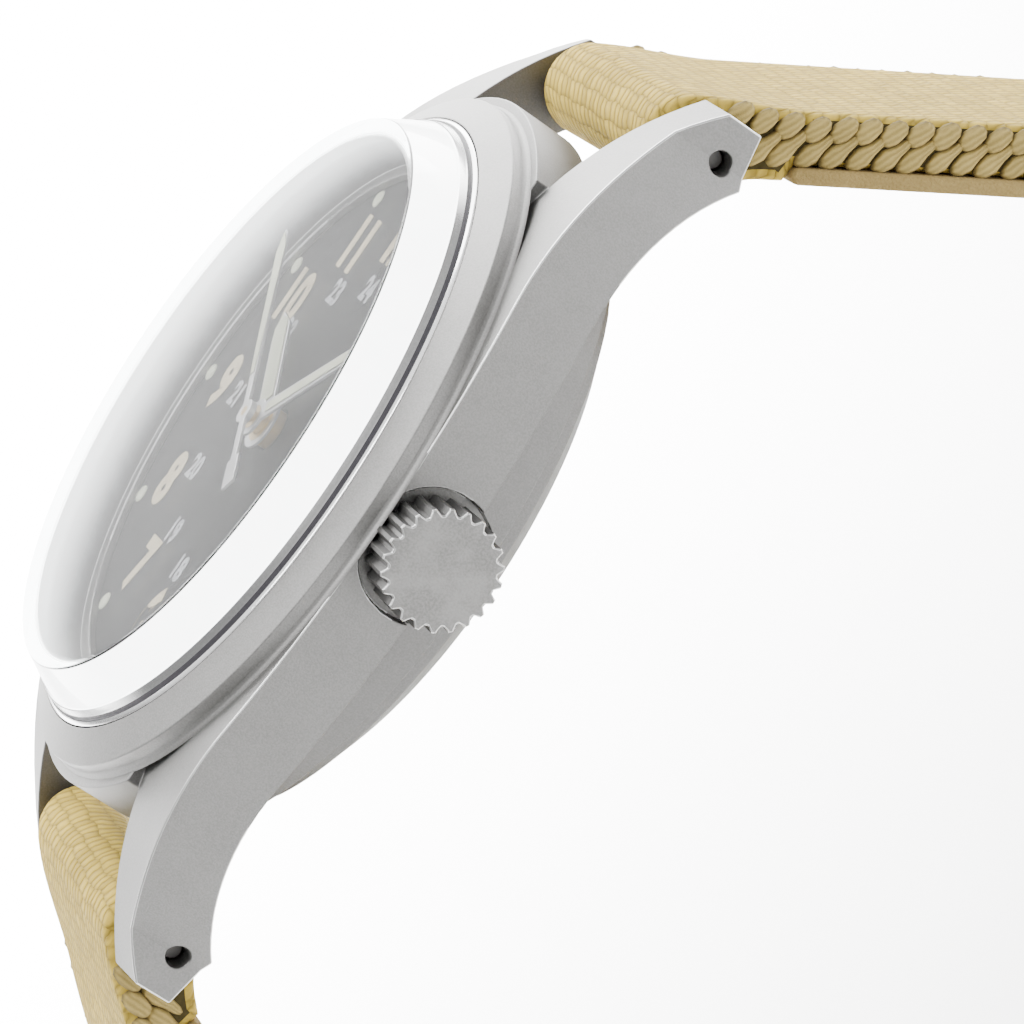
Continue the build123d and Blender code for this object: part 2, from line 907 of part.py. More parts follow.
# Setting lever: a plate on the dial side whose pin sits in the groove of the stem
setting_pivot_x = setting_pin_x + crown_travel / 2
setting_swing = degrees(asin(crown_travel / 2 / setting_arm))
setting_pivot_y = setting_arm * cos(radians(setting_swing))
setting_pin_low = crown_axis_height + stem_groove_radius + running_gap
setting_low = recess_floor + running_gap
with BuildPart() as setting_lever:
    with BuildSketch(
        Plane(origin=(setting_pivot_x, setting_pivot_y, setting_low)).rotated((0, 0, -setting_swing))
    ):
        Circle(setting_boss_radius)
        with Locations((0, -setting_arm)):
            Circle(setting_width / 2)
        with Locations((0, -setting_arm / 2)):
            Rectangle(setting_width, setting_arm)
    extrude(amount=setting_thickness)
    with BuildSketch(Plane.XY.offset(setting_pin_low)):
        with Locations((setting_pin_x, 0)):
            Circle(setting_pin_radius)
    extrude(amount=setting_low - setting_pin_low)
save(setting_lever.part, "setting_lever")

# Spring bars: a tube between the lugs and a sliding tip at each end
bar_half = half_gap - bar_end_gap
tip_outer = lug_outer - bar_tip_recess
tip_inner = bar_half - bar_tip_inner
for clock, side in (("12", 1), ("6", -1)):
    bar_plane = Plane.YZ.offset(-bar_half)
    with BuildPart() as spring_bar:
        with BuildSketch(bar_plane):
            with Locations((side * lug_hole_reach, lug_hole_height)):
                Circle(bar_radius)
                Circle(bar_bore_radius, mode=Mode.SUBTRACT)
        extrude(amount=2 * bar_half)
    save(spring_bar.part, f"spring_bar_{clock}")
    for hand, direction in (("crown_side", 1), ("far_side", -1)):
        with BuildPart() as bar_tip:
            with BuildSketch(Plane.YZ.offset(direction * tip_inner)):
                with Locations((side * lug_hole_reach, lug_hole_height)):
                    Circle(bar_tip_radius)
            extrude(amount=direction * (tip_outer - tip_inner))
        save(bar_tip.part, f"bar_tip_{clock}_{hand}")


# Strap halves: a band that follows straights and bends, drawn in the plane of the dial axis
def walk(start, heading, pieces):
    """Stations along the band's middle line: place, heading and, for a bend, its centre and radius."""
    stations = [(start, heading, None, None)]
    y, z = start
    for kind, size, turn in pieces:
        if kind == "run":
            y += size * cos(radians(heading))
            z -= size * sin(radians(heading))
            stations.append(((y, z), heading, None, None))
        else:
            centre = (y - size * sin(radians(heading)), z - size * cos(radians(heading)))
            heading += turn
            y = centre[0] + size * sin(radians(heading))
            z = centre[1] + size * cos(radians(heading))
            stations.append(((y, z), heading, centre, size))
    return stations


def shifted(station, offset, side):
    """A station's place moved towards the outside of the loop, mirrored for the 6 o'clock half."""
    (y, z), heading, centre, radius = station
    return (
        side * (y + offset * sin(radians(heading))),
        z + offset * cos(radians(heading)),
    )


def band_outline(stations, far, near, side):
    """Closed outline between two offsets from the middle line."""
    for offset in (far, near):
        for first, last in zip(stations, stations[1:]):
            start, end = shifted(first, offset, side), shifted(last, offset, side)
            if last[2] is None:
                Line(start, end)
            else:
                middle_heading = radians((first[1] + last[1]) / 2)
                reach = last[3] + offset
                middle = (
                    side * (last[2][0] + reach * sin(middle_heading)),
                    last[2][1] + reach * cos(middle_heading),
                )
                ThreePointArc(start, middle, end)
    for station in (stations[0], stations[-1]):
        Line(shifted(station, far, side), shifted(station, near, side))


bar_start = (lug_hole_reach, lug_hole_height)
webbing_inside = strap_outside - webbing_thickness
lining_inside = webbing_inside - lining_thickness
flat_turn = 180.0
keeper_height = keeper_wall + keeper_tail_room
twelve_flat_height = floor_height + keeper_height + strap_outside
six_flat_height = floor_height + strap_outside
bend_drop_twelve = bend_radius * (1 + cos(radians(twelve_heading)))
twelve_run = (lug_hole_height - twelve_flat_height - bend_drop_twelve) / sin(radians(twelve_heading))
first_bend_drop = six_first_bend_radius * (cos(radians(six_heading)) - cos(radians(twelve_heading)))
six_run = (lug_hole_height - six_flat_height - first_bend_drop - bend_drop_twelve) / sin(
    radians(twelve_heading)
)
twelve_pieces = [
    ("run", twelve_run, 0),
    ("bend", bend_radius, flat_turn - twelve_heading),
    ("run", twelve_flat, 0),
]
six_pieces = [
    ("bend", six_first_bend_radius, twelve_heading - six_heading),
    ("run", six_run, 0),
    ("bend", bend_radius, flat_turn - twelve_heading),
    ("run", six_flat, 0),
]
twelve_stations = walk(bar_start, twelve_heading, twelve_pieces)
six_stations = walk(bar_start, six_heading, six_pieces)
twelve_end = twelve_stations[-1][0]
strap_start_plane = Plane.YZ.offset(-strap_width / 2)
bar_hole_radius = bar_radius + bar_clearance


def lining_stations(stations, heading, pieces):
    """The same path, begun a little past the roll over the spring bar."""
    first_kind, first_size, first_turn = pieces[0]
    if first_kind == "run":
        start = (
            stations[0][0][0] + lining_start * cos(radians(heading)),
            stations[0][0][1] - lining_start * sin(radians(heading)),
        )
        return [(start, heading, None, None)] + stations[1:]
    turn = degrees(lining_start / first_size)
    opened = walk(stations[0][0], heading, [(first_kind, first_size, turn)])
    return [opened[-1]] + stations[1:]


with BuildPart() as strap_12_webbing:
    with BuildSketch(strap_start_plane):
        with BuildLine():
            band_outline(twelve_stations, strap_outside, webbing_inside, 1)
        make_face()
        with Locations((lug_hole_reach, lug_hole_height + roll_lift)):
            Circle(roll_radius)
        with Locations(twelve_end):
            Circle(buckle_roll_radius)
        with Locations(bar_start):
            Circle(bar_hole_radius, mode=Mode.SUBTRACT)
        with Locations(twelve_end):
            Circle(buckle_bar_radius + bar_clearance, mode=Mode.SUBTRACT)
    extrude(amount=strap_width)
    with BuildSketch(Plane.XY.offset(twelve_end[1] - buckle_roll_radius - strap_outside)):
        with Locations((0, twelve_end[0])):
            Rectangle(tongue_width + 2 * tongue_slot_gap, 2 * (tongue_eye_radius + tongue_slot_gap))
    extrude(amount=2 * (buckle_roll_radius + strap_outside), mode=Mode.SUBTRACT)
save(strap_12_webbing.part, "strap_12_webbing")

lining_end_trim = 2 * buckle_roll_radius
twelve_lining_pieces = twelve_pieces[:2] + [("run", twelve_flat - lining_end_trim, 0)]
twelve_lining_path = lining_stations(
    walk(bar_start, twelve_heading, twelve_lining_pieces), twelve_heading, twelve_lining_pieces
)
with BuildPart() as strap_12_lining:
    with BuildSketch(strap_start_plane):
        with BuildLine():
            band_outline(twelve_lining_path, webbing_inside, lining_inside, 1)
        make_face()
    extrude(amount=strap_width)
save(strap_12_lining.part, "strap_12_lining")

tail_end_y = -six_stations[-1][0][0]
tail_hole_places = [
    (0, tail_end_y - tail_hole_start - tail_hole_pitch * index) for index in range(tail_hole_count)
]


# Trim of the tail to a blunt point, with its adjustment holes
with BuildPart() as tail_cut:
    with BuildSketch(Plane.XY.offset(floor_height - cut_overrun)):
        for across in (1, -1):
            with BuildLine():
                Polyline(
                    (across * strap_width / 2, tail_end_y - tail_point),
                    (across * strap_width / 2, tail_end_y),
                    (across * tail_hole_radius, tail_end_y),
                    close=True,
                )
            make_face()
        with Locations(*tail_hole_places):
            Circle(tail_hole_radius)
    extrude(amount=webbing_thickness + lining_thickness + 2 * cut_overrun)

with BuildPart() as strap_6_webbing:
    with BuildSketch(strap_start_plane):
        with BuildLine():
            band_outline(six_stations, strap_outside, webbing_inside, -1)
        make_face()
        with Locations((-lug_hole_reach, lug_hole_height + roll_lift)):
            Circle(roll_radius)
        with Locations((-lug_hole_reach, lug_hole_height)):
            Circle(bar_hole_radius, mode=Mode.SUBTRACT)
    extrude(amount=strap_width)
    add(tail_cut.part, mode=Mode.SUBTRACT)
save(strap_6_webbing.part, "strap_6_webbing")

six_lining_pieces = six_pieces[:3] + [("run", six_lining_flat, 0)]
six_lining_path = lining_stations(
    walk(bar_start, six_heading, six_lining_pieces), six_heading, six_lining_pieces
)
with BuildPart() as strap_6_lining:
    with BuildSketch(strap_start_plane):
        with BuildLine():
            band_outline(six_lining_path, webbing_inside, lining_inside, -1)
        make_face()
    extrude(amount=strap_width)
save(strap_6_lining.part, "strap_6_lining")


# Keepers: rectangular loops round the strap with room for the tail on the outside
def keeper(place, heading):
    """A loop centred on a place of the band, with its opening along the band."""
    half_width = strap_width / 2 + keeper_side_gap
    inside = lining_inside - keeper_strap_gap
    outside = strap_outside + keeper_tail_room
    loop_plane = Plane(
        origin=(0, *place),
        x_dir=(1, 0, 0),
        z_dir=(0, cos(radians(heading)), -sin(radians(heading))),
    )
    with BuildPart() as piece:
        with BuildSketch(loop_plane):
            with Locations((0, -(outside + inside) / 2)):
                RectangleRounded(
                    2 * (half_width + keeper_wall), outside - inside + 2 * keeper_wall, keeper_wall
                )
                Rectangle(2 * half_width, outside - inside, mode=Mode.SUBTRACT)
        extrude(amount=keeper_length / 2, both=True)
    return piece.part


fixed_place = (twelve_end[0] + buckle_roll_radius + fixed_keeper_setback, twelve_end[1])
save(keeper(fixed_place, flat_turn), "fixed_keeper")
free_run = twelve_run - keeper_length / 2 - free_keeper_setback
free_place = (
    lug_hole_reach + free_run * cos(radians(twelve_heading)),
    lug_hole_height - free_run * sin(radians(twelve_heading)),
)
save(keeper(free_place, twelve_heading), "free_keeper")

# Pin buckle: a frame on a bar through the strap's end, leaning down to the surface it lies on
buckle_lean = asin(
    (twelve_end[1] - floor_height - tongue_thickness - running_gap - buckle_thickness / 2) / buckle_reach
)
buckle_origin = (0, *twelve_end)
buckle_plane = Plane(
    origin=buckle_origin,
    x_dir=(1, 0, 0),
    z_dir=(0, -sin(buckle_lean), cos(buckle_lean)),
)
frame_inner_half = strap_width / 2 + buckle_side_gap
frame_outer_half = frame_inner_half + buckle_rod
with BuildPart() as buckle_frame:
    with BuildSketch(buckle_plane.offset(-buckle_thickness / 2)):
        with Locations((0, -buckle_reach / 2)):
            RectangleRounded(2 * frame_outer_half, buckle_reach + buckle_rod, buckle_corner)
            Rectangle(2 * frame_inner_half, buckle_reach - buckle_rod, mode=Mode.SUBTRACT)
        with Locations((0, buckle_rod / 2)):
            Rectangle(2 * frame_inner_half, 2 * buckle_rod, mode=Mode.SUBTRACT)
    extrude(amount=buckle_thickness)
    with BuildSketch(Plane.YZ.offset(-frame_outer_half)):
        with Locations(twelve_end):
            Circle(buckle_bar_radius)
    extrude(amount=2 * frame_outer_half, mode=Mode.SUBTRACT)
save(buckle_frame.part, "buckle_frame")

with BuildPart() as buckle_bar:
    with BuildSketch(Plane.YZ.offset(-frame_outer_half + buckle_bar_recess)):
        with Locations(twelve_end):
            Circle(buckle_bar_radius)
    extrude(amount=2 * (frame_outer_half - buckle_bar_recess))
save(buckle_bar.part, "buckle_bar")

# Tongue: an eye round the bar and a pin that rests on the outer side of the far rod
tongue_drop = buckle_thickness / 2 + running_gap + tongue_thickness / 2
tongue_tilt = atan2(tongue_drop, buckle_reach - buckle_rod / 2)
tongue_run = (buckle_reach + buckle_rod / 2) / cos(tongue_tilt)
tongue_plane = Plane(
    origin=buckle_origin,
    x_dir=(1, 0, 0),
    z_dir=(0, -sin(buckle_lean + tongue_tilt), cos(buckle_lean + tongue_tilt)),
)
with BuildPart() as buckle_tongue:
    with BuildSketch(Plane.YZ.offset(-tongue_width / 2)):
        with Locations(twelve_end):
            Circle(tongue_eye_radius)
    extrude(amount=tongue_width)
    with BuildSketch(tongue_plane.offset(-tongue_thickness / 2)):
        with Locations((0, -(tongue_run + tongue_overhang) / 2)):
            Rectangle(tongue_width, tongue_run + tongue_overhang)
    extrude(amount=tongue_thickness)
    with BuildSketch(Plane.YZ.offset(-tongue_width / 2)):
        with Locations(twelve_end):
            Circle(buckle_bar_radius + bar_clearance)
    extrude(amount=tongue_width, mode=Mode.SUBTRACT)
save(buckle_tongue.part, "buckle_tongue")
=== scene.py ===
import json
import random
from math import atan2, cos, degrees, hypot, pi, radians, sin

import bmesh
import bpy
from mathutils import Matrix, Vector


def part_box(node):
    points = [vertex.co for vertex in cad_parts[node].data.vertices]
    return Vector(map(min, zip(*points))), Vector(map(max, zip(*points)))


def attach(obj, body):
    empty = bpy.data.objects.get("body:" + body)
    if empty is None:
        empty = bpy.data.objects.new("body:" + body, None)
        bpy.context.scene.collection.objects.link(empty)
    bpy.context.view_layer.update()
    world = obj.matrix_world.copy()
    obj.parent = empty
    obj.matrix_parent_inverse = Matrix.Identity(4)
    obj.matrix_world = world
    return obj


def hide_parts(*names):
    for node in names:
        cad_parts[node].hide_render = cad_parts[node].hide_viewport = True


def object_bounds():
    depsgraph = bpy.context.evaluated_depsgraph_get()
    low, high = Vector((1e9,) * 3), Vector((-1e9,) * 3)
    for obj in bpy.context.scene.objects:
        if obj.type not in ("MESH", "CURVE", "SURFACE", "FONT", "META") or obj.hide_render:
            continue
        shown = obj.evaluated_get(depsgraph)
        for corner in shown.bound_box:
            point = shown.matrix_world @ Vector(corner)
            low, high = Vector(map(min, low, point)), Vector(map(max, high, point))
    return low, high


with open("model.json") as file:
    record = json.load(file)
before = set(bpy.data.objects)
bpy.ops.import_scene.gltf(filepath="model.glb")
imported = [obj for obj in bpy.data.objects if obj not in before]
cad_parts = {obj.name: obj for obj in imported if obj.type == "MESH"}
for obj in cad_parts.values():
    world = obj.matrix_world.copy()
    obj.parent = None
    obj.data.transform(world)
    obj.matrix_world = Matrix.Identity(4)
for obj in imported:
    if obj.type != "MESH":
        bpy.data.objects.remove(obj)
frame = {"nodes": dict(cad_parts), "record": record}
cad_box = [list(corner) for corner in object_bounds()]
MM = 0.001
yarn_dice = random.Random(12)

# Tones that several pieces share
steel_tone = (0.238, 0.235, 0.229)
khaki_tone = (0.455, 0.322, 0.054)
edge_tone = (0.34, 0.255, 0.085)
lining_tone = (0.30, 0.215, 0.08)

# The webbing's yarns, in millimetres
yarn_course, yarn_column, plait_pitch = 0.85, 0.66, 1.22

# The lug holes and the plane that the strap stands on, in millimetres
floor_z, hole_y, hole_z = -56.0, 20.97, 1.6


# Finishes: each is one material, and arithmetic on a Value adds the nodes for it
class Value:
    """What one socket gives."""

    def __init__(self, finish, socket):
        self.finish, self.socket = finish, socket

    def maths(self, operation, *others):
        return self.finish.add("ShaderNodeMath", {"operation": operation}, dict(enumerate((self, *others))))

    def __add__(self, other):
        return self.maths("ADD", other)

    def __mul__(self, other):
        return self.maths("MULTIPLY", other)

    def __rsub__(self, other):
        return self.finish.add("ShaderNodeMath", {"operation": "SUBTRACT"}, {0: other, 1: self})

    def __truediv__(self, other):
        return self.maths("DIVIDE", other)

    def __pow__(self, other):
        return self.maths("POWER", other)

    __radd__, __rmul__ = __add__, __mul__

    def sine(self):
        return self.maths("SINE")

    def whole(self):
        return self.maths("FLOOR")

    def part(self):
        return self.maths("FRACT")

    def at_least(self, other):
        return self.maths("MAXIMUM", other)

    def step(self, low, high):
        """0 below low, 1 above high and smooth between them."""
        return self.finish.add(
            "ShaderNodeMapRange",
            {"interpolation_type": "SMOOTHSTEP"},
            {"Value": self, "From Min": low, "From Max": high},
        )


class Finish:
    """A material with its shader, and one method that adds any other node."""

    def __init__(self, name, **fixed):
        self.made = bpy.data.materials.new(name)
        self.made.use_nodes = True
        self.tree = self.made.node_tree
        self.shader = self.tree.nodes["Principled BSDF"]
        for socket, value in fixed.items():
            self.shader.inputs[socket.replace("_", " ")].default_value = value

    def feed(self, socket, value):
        if isinstance(value, Value):
            self.tree.links.new(value.socket, socket)
        else:
            socket.default_value = value

    def add(self, kind, settings=None, values=None, out=0):
        node = self.tree.nodes.new(kind)
        for key, value in (settings or {}).items():
            if key == "stops":
                for stop in value[2:]:
                    node.color_ramp.elements.new(stop[0])
                for element, (place, tone) in zip(node.color_ramp.elements, value):
                    element.position, element.color = place, (*tone, 1)
            else:
                setattr(node, key, value)
        for key, value in (values or {}).items():
            self.feed(node.inputs[key], value)
        return Value(self, node.outputs[out])

    def place(self):
        """Object coordinates, which are the row frame in metres."""
        return self.add("ShaderNodeTexCoord", out="Object")

    def stretched(self, x, y, z):
        """Object coordinates in millimetres, stretched along each axis."""
        scale = (x / MM, y / MM, z / MM)
        return self.add("ShaderNodeMapping", {}, {"Vector": self.place(), "Scale": scale})

    def parts(self, vector):
        """The three parts of a vector."""
        split = self.add("ShaderNodeSeparateXYZ", {}, {0: vector}).socket.node
        return [Value(self, output) for output in split.outputs]

    def cloth(self):
        """The piece's own flat coordinates, from its UV map."""
        return self.parts(self.add("ShaderNodeUVMap", {"uv_map": "flat"}))[:2]

    def joined(self, x, y, z=0.0):
        return self.add("ShaderNodeCombineXYZ", {}, {0: x, 1: y, 2: z})

    def noise(self, grain, detail=2.0, at=None):
        """Noise from 0 to 1, with grain in millimetres."""
        scale = 1 / grain if at else 1 / (grain * MM)
        values = {"Vector": at or self.place(), "Scale": scale, "Detail": detail}
        return self.add("ShaderNodeTexNoise", {}, values)

    def ramp(self, share, *stops):
        return self.add("ShaderNodeValToRGB", {"stops": stops}, {"Fac": share})

    def blend(self, share, first, second):
        values = {0: share, 6: colour(first), 7: colour(second)}
        return self.add("ShaderNodeMix", {"data_type": "RGBA"}, values, out=2)

    def relief(self, height, depth, strength, below=None):
        """A bump of a real depth in millimetres, over another one if given."""
        values = {"Height": height, "Distance": depth * MM, "Strength": strength}
        if below:
            values["Normal"] = below
        return self.add("ShaderNodeBump", {}, values)

    def use(self, **links):
        for socket, value in links.items():
            self.feed(self.shader.inputs[socket.replace("_", " ")], value)
        return self.made


class Surroundings(Finish):
    """The white room round the watch, whose glow changes with direction."""

    def __init__(self, name):
        self.made = bpy.data.worlds.new(name)
        self.made.use_nodes = True
        self.tree = self.made.node_tree
        self.shader = self.tree.nodes["Background"]

    def direction(self):
        return self.parts(self.add("ShaderNodeTexCoord", out="Generated"))


def colour(value):
    return (*value, 1.0) if isinstance(value, tuple) and len(value) == 3 else value


def scaled(tone, share):
    return tuple(part * share for part in tone)


def blasted_steel(name, tone, grain=0.09, depth=0.012, cloudiness=0.03, **fixed):
    """Steel blasted with fine glass: even, grey and finely speckled."""
    steel = Finish(name, Metallic=1.0, **fixed)
    speck = steel.noise(grain, 3.0)
    cloud = steel.noise(1.6).step(0.35, 0.65)
    clouded = steel.blend(cloud, scaled(tone, 1 - cloudiness), scaled(tone, 1 + cloudiness / 2))
    shade = steel.blend(speck.step(0.3, 0.7) * 0.4, clouded, scaled(tone, 1.5))
    roughness = 0.46 + 0.12 * speck
    return steel.use(Base_Color=shade, Roughness=roughness, Normal=steel.relief(speck, depth, 0.8))


def polished_steel(name, tone, roughness):
    """Turned or drawn steel with a faint grain."""
    steel = Finish(name, Metallic=1.0)
    grain = steel.noise(0.12, 2.0)
    shade = steel.blend(grain, scaled(tone, 0.9), scaled(tone, 1.1))
    return steel.use(
        Base_Color=shade,
        Roughness=roughness + 0.12 * grain,
        Normal=steel.relief(grain, 0.004, 0.5),
    )


def brushed_metal(name, tone, roughness):
    """Flat movement parts with a fine grain, drawn out along the dial axis."""
    metal = Finish(name, Metallic=1.0)
    grain = metal.noise(0.5, 3.0, at=metal.stretched(1, 1, 0.2))
    fine = metal.noise(0.06, 2.0)
    shade = metal.blend(grain * 0.6 + fine * 0.4, scaled(tone, 0.85), scaled(tone, 1.12))
    return metal.use(
        Base_Color=shade,
        Roughness=roughness + 0.15 * fine,
        Normal=metal.relief(fine, 0.006, 0.5),
    )


def dial_paint():
    """Matt charcoal paint with a fine tooth."""
    paint = Finish("dial_charcoal_paint", Specular_IOR_Level=0.3)
    tooth = paint.noise(0.07, 3.0)
    cloud = paint.noise(2.5, 2.0)
    shade = paint.ramp(tooth * 0.6 + cloud * 0.4, (0.25, (0.010, 0.010, 0.011)), (0.8, (0.022, 0.022, 0.023)))
    return paint.use(Base_Color=shade, Roughness=0.72 + 0.15 * tooth, Normal=paint.relief(tooth, 0.008, 0.6))


def printed_paint(name, tone, unevenness):
    """Raised dial paint, a little uneven."""
    paint = Finish(name, Specular_IOR_Level=0.35)
    patch = paint.noise(0.25, 3.0)
    shade = paint.blend(patch, scaled(tone, 1 - unevenness), tone)
    return paint.use(Base_Color=shade, Roughness=0.6 + 0.2 * patch, Normal=paint.relief(patch, 0.02, 0.8))


def clear_crystal():
    """Clear mineral glass with a faintly uneven polish."""
    glass = Finish("clear_crystal_glass", Transmission_Weight=1.0, IOR=1.5)
    haze = glass.noise(1.2, 2.0)
    return glass.use(Base_Color=(1, 1, 1, 1), Roughness=0.003 * haze)


def ground_glass():
    """The crystal's thick edge: white, with a painted glow that stands in for the light filling it."""
    glow_edge = Finish("painted_glow_crystal_edge", Emission_Strength=7.0, Coat_Weight=1.0, Coat_Roughness=0.02)
    grit = glow_edge.noise(0.8, 2.0)
    white = glow_edge.blend(grit, (0.86, 0.89, 0.89), (0.95, 0.96, 0.96))
    return glow_edge.use(Base_Color=white, Emission_Color=white, Roughness=0.4 + 0.1 * grit)


def fading_glass():
    """The inner wall of the crystal's edge: painted shade, dark at the dial, fading up to a painted glow,
    white with light, at its top.
    """
    wall = Finish("painted_shade_to_glow_crystal_wall", Emission_Strength=4.0, Coat_Weight=1.0, Coat_Roughness=0.02)
    grit = wall.noise(0.8, 2.0)
    height = wall.parts(wall.place())[2] / MM + 0.2 * grit
    white = wall.blend(height.step(7.6, 9.9), (0.03, 0.03, 0.032), (0.90, 0.93, 0.93))
    return wall.use(Base_Color=white, Emission_Color=white, Roughness=0.4 + 0.1 * grit)


def soft_seal():
    """Painted shade: the groove in which the crystal sits, painted dark."""
    groove_paint = Finish("crystal_groove_painted_shade", Specular_IOR_Level=0.4)
    shade_mottle = groove_paint.noise(0.2, 2.0)
    shade = groove_paint.blend(shade_mottle, (0.035, 0.033, 0.040), (0.06, 0.057, 0.065))
    return groove_paint.use(Base_Color=shade, Roughness=0.35 + 0.2 * shade_mottle)


def woven_khaki():
    """Plump yarns that pass over and under on a slant, in courses across the strap, with painted shade in the
    hollows between them.
    """
    cloth = Finish("woven_khaki_yarn", Specular_IOR_Level=0.1, Sheen_Weight=0.03, Sheen_Roughness=0.45)
    across, along = cloth.cloth()
    wander = cloth.noise(1.6, 2.0)
    course = along / yarn_course + 0.8 * wander
    column = across / yarn_column + 0.8 * course.part() + 0.5 * course.whole() + 0.9 * wander
    across_yarn, along_yarn = (column.part() * pi).sine(), (course.part() * pi).sine()
    plump = (across_yarn * along_yarn).at_least(0.0) ** 0.5
    cell = cloth.joined(column.whole(), course.whole())
    own = cloth.add("ShaderNodeTexWhiteNoise", {"noise_dimensions": "3D"}, {"Vector": cell})
    fibre = cloth.noise(1.0, 3.0, at=cloth.joined(column * 9.0, along * 1.3))
    patch = cloth.noise(4.0, 3.0)
    tone = cloth.ramp(
        fibre * 0.4 + own * 0.3 + patch * 0.3,
        (0.25, scaled(khaki_tone, 0.74)),
        (0.5, khaki_tone),
        (0.75, scaled(khaki_tone, 1.2)),
    )
    # Painted shade: darker in the hollows between the yarns
    depth = 0.6 * (1 - across_yarn.step(0.1, 0.9)) + 0.28 * (1 - along_yarn.step(0.0, 0.8))
    shaded_hollows = cloth.blend(depth, tone, scaled(khaki_tone, 0.45))
    low = cloth.relief(plump, 0.11, 0.9)
    fine = cloth.relief(fibre, 0.04, 0.8, below=low)
    return cloth.use(Base_Color=shaded_hollows, Roughness=0.85, Normal=fine)


def edge_yarn():
    """The yarns of the plaited edge: ridged along each strand, with painted shade towards the rim where it
    dips under the next.
    """
    yarn = Finish("edge_khaki_yarn", Specular_IOR_Level=0.1, Sheen_Weight=0.03, Sheen_Roughness=0.45)
    across, along = yarn.cloth()
    wander = yarn.noise(0.5, 2.0)
    ridge = ((across * 3.4 + along * 0.4 + wander * 1.2) * pi).sine() * 0.5 + 0.5
    fibre = yarn.noise(0.05, 3.0)
    patch = yarn.noise(1.6, 2.0)
    tone = yarn.ramp(
        fibre * 0.3 + ridge * 0.3 + patch * 0.4,
        (0.25, scaled(edge_tone, 0.72)),
        (0.5, edge_tone),
        (0.75, scaled(edge_tone, 1.30)),
    )
    # Painted shade towards each strand's rim, where it dips under the next
    rim_shade = (across * across + along * along).step(0.7, 1.3)
    shade = yarn.blend(rim_shade, tone, scaled(edge_tone, 0.25))
    ribbed = yarn.relief(ridge, 0.035, 0.9)
    return yarn.use(Base_Color=shade, Roughness=0.88, Normal=yarn.relief(fibre, 0.025, 0.8, below=ribbed))


def shaded_khaki():
    """The webbing's core behind the plaited edge, where little light comes."""
    core = Finish("shaded_khaki_core", Specular_IOR_Level=0.1)
    speck = core.noise(0.3, 3.0)
    shade = core.blend(speck, (0.030, 0.024, 0.008), (0.075, 0.058, 0.022))
    return core.use(Base_Color=shade, Roughness=0.95)


def lining_cloth():
    """A thin, close, warmer backing cloth with a soft nap."""
    cloth = Finish("lining_tan_cloth", Specular_IOR_Level=0.1, Sheen_Weight=0.03, Sheen_Roughness=0.5)
    nap = cloth.noise(0.12, 4.0)
    patch = cloth.noise(1.8, 3.0)
    tone = cloth.ramp(
        nap * 0.6 + patch * 0.4,
        (0.28, scaled(lining_tone, 0.72)),
        (0.55, lining_tone),
        (0.8, scaled(lining_tone, 1.3)),
    )
    return cloth.use(Base_Color=tone, Roughness=0.9, Normal=cloth.relief(nap, 0.08, 0.8))


# Making pieces
def alone(piece):
    """Leaves only this piece selected and active."""
    bpy.ops.object.select_all(action="DESELECT")
    piece.select_set(True)
    bpy.context.view_layer.objects.active = piece
    return piece


def started(name):
    piece = bpy.context.object
    piece.name = piece.data.name = name
    return piece


def settled(piece):
    """Puts a piece's place and turn into its mesh."""
    alone(piece)
    bpy.ops.object.transform_apply(location=True, rotation=True, scale=True)
    return piece


def opened():
    """Enters edit mode with all of the active piece selected."""
    bpy.ops.object.mode_set(mode="EDIT")
    bpy.ops.mesh.select_all(action="SELECT")


def finished(piece, body, material, stands_for=()):
    """Gives a piece its material, the body that it rides and the solids that it stands for."""
    piece.data.materials.clear()
    piece.data.materials.append(material)
    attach(piece, body)
    if stands_for:
        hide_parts(*stands_for)
    return piece


def rounded_edges(piece, width, angle=28.0, segments=2, wear_and_highlight=False):
    """Breaks the sharp edges by a small real width, in the piece's second material where wear and a painted
    highlight brighten them.
    """
    edge = piece.modifiers.new("broken_edge", "BEVEL")
    edge.width, edge.segments = width * MM, segments
    edge.limit_method, edge.angle_limit = "ANGLE", radians(angle)
    edge.use_clamp_overlap, edge.harden_normals = False, True
    edge.miter_outer = "MITER_ARC"
    edge.material = 1 if wear_and_highlight else -1
    alone(piece)
    bpy.ops.object.modifier_apply(modifier=edge.name)
    return piece


def dulled(piece, covered):
    """Puts the first finish back on edge faces, brightened by wear and a painted highlight, that a test
    picks, by their middle in millimetres.
    """
    for face in piece.data.polygons:
        if face.material_index and covered(face.center / MM):
            face.material_index = 0


def given(piece, material, wanted):
    """Puts one more material on the faces that a test picks, by their middle in millimetres and direction."""
    piece.data.materials.append(material)
    for face in piece.data.polygons:
        if wanted(face.center / MM, face.normal):
            face.material_index = len(piece.data.materials) - 1


def taken_from(node, name):
    """A copy of a CAD node with its loose triangles merged into clean faces."""
    source = frame["nodes"][node]
    mesh = source.data.copy()
    piece = bpy.data.objects.new(name, mesh)
    bpy.context.scene.collection.objects.link(piece)
    mesh.name = name
    alone(piece)
    bpy.ops.mesh.customdata_custom_splitnormals_clear()
    opened()
    bpy.ops.mesh.remove_doubles(threshold=2e-6)
    bpy.ops.mesh.dissolve_limited(angle_limit=radians(0.4), delimit={"NORMAL"})
    bpy.ops.object.mode_set(mode="OBJECT")
    return smoothed(piece, 28)


def machined(node, name, body, material, edge, angle=28.0, wear_and_highlight=None):
    """A rigid piece as the CAD shapes it, with its edges broken, and brightened by wear and a painted
    highlight if a finish is given.
    """
    piece = finished(taken_from(node, name), body, material, (node,))
    if wear_and_highlight:
        piece.data.materials.append(wear_and_highlight)
    return rounded_edges(piece, edge, angle, wear_and_highlight=bool(wear_and_highlight))


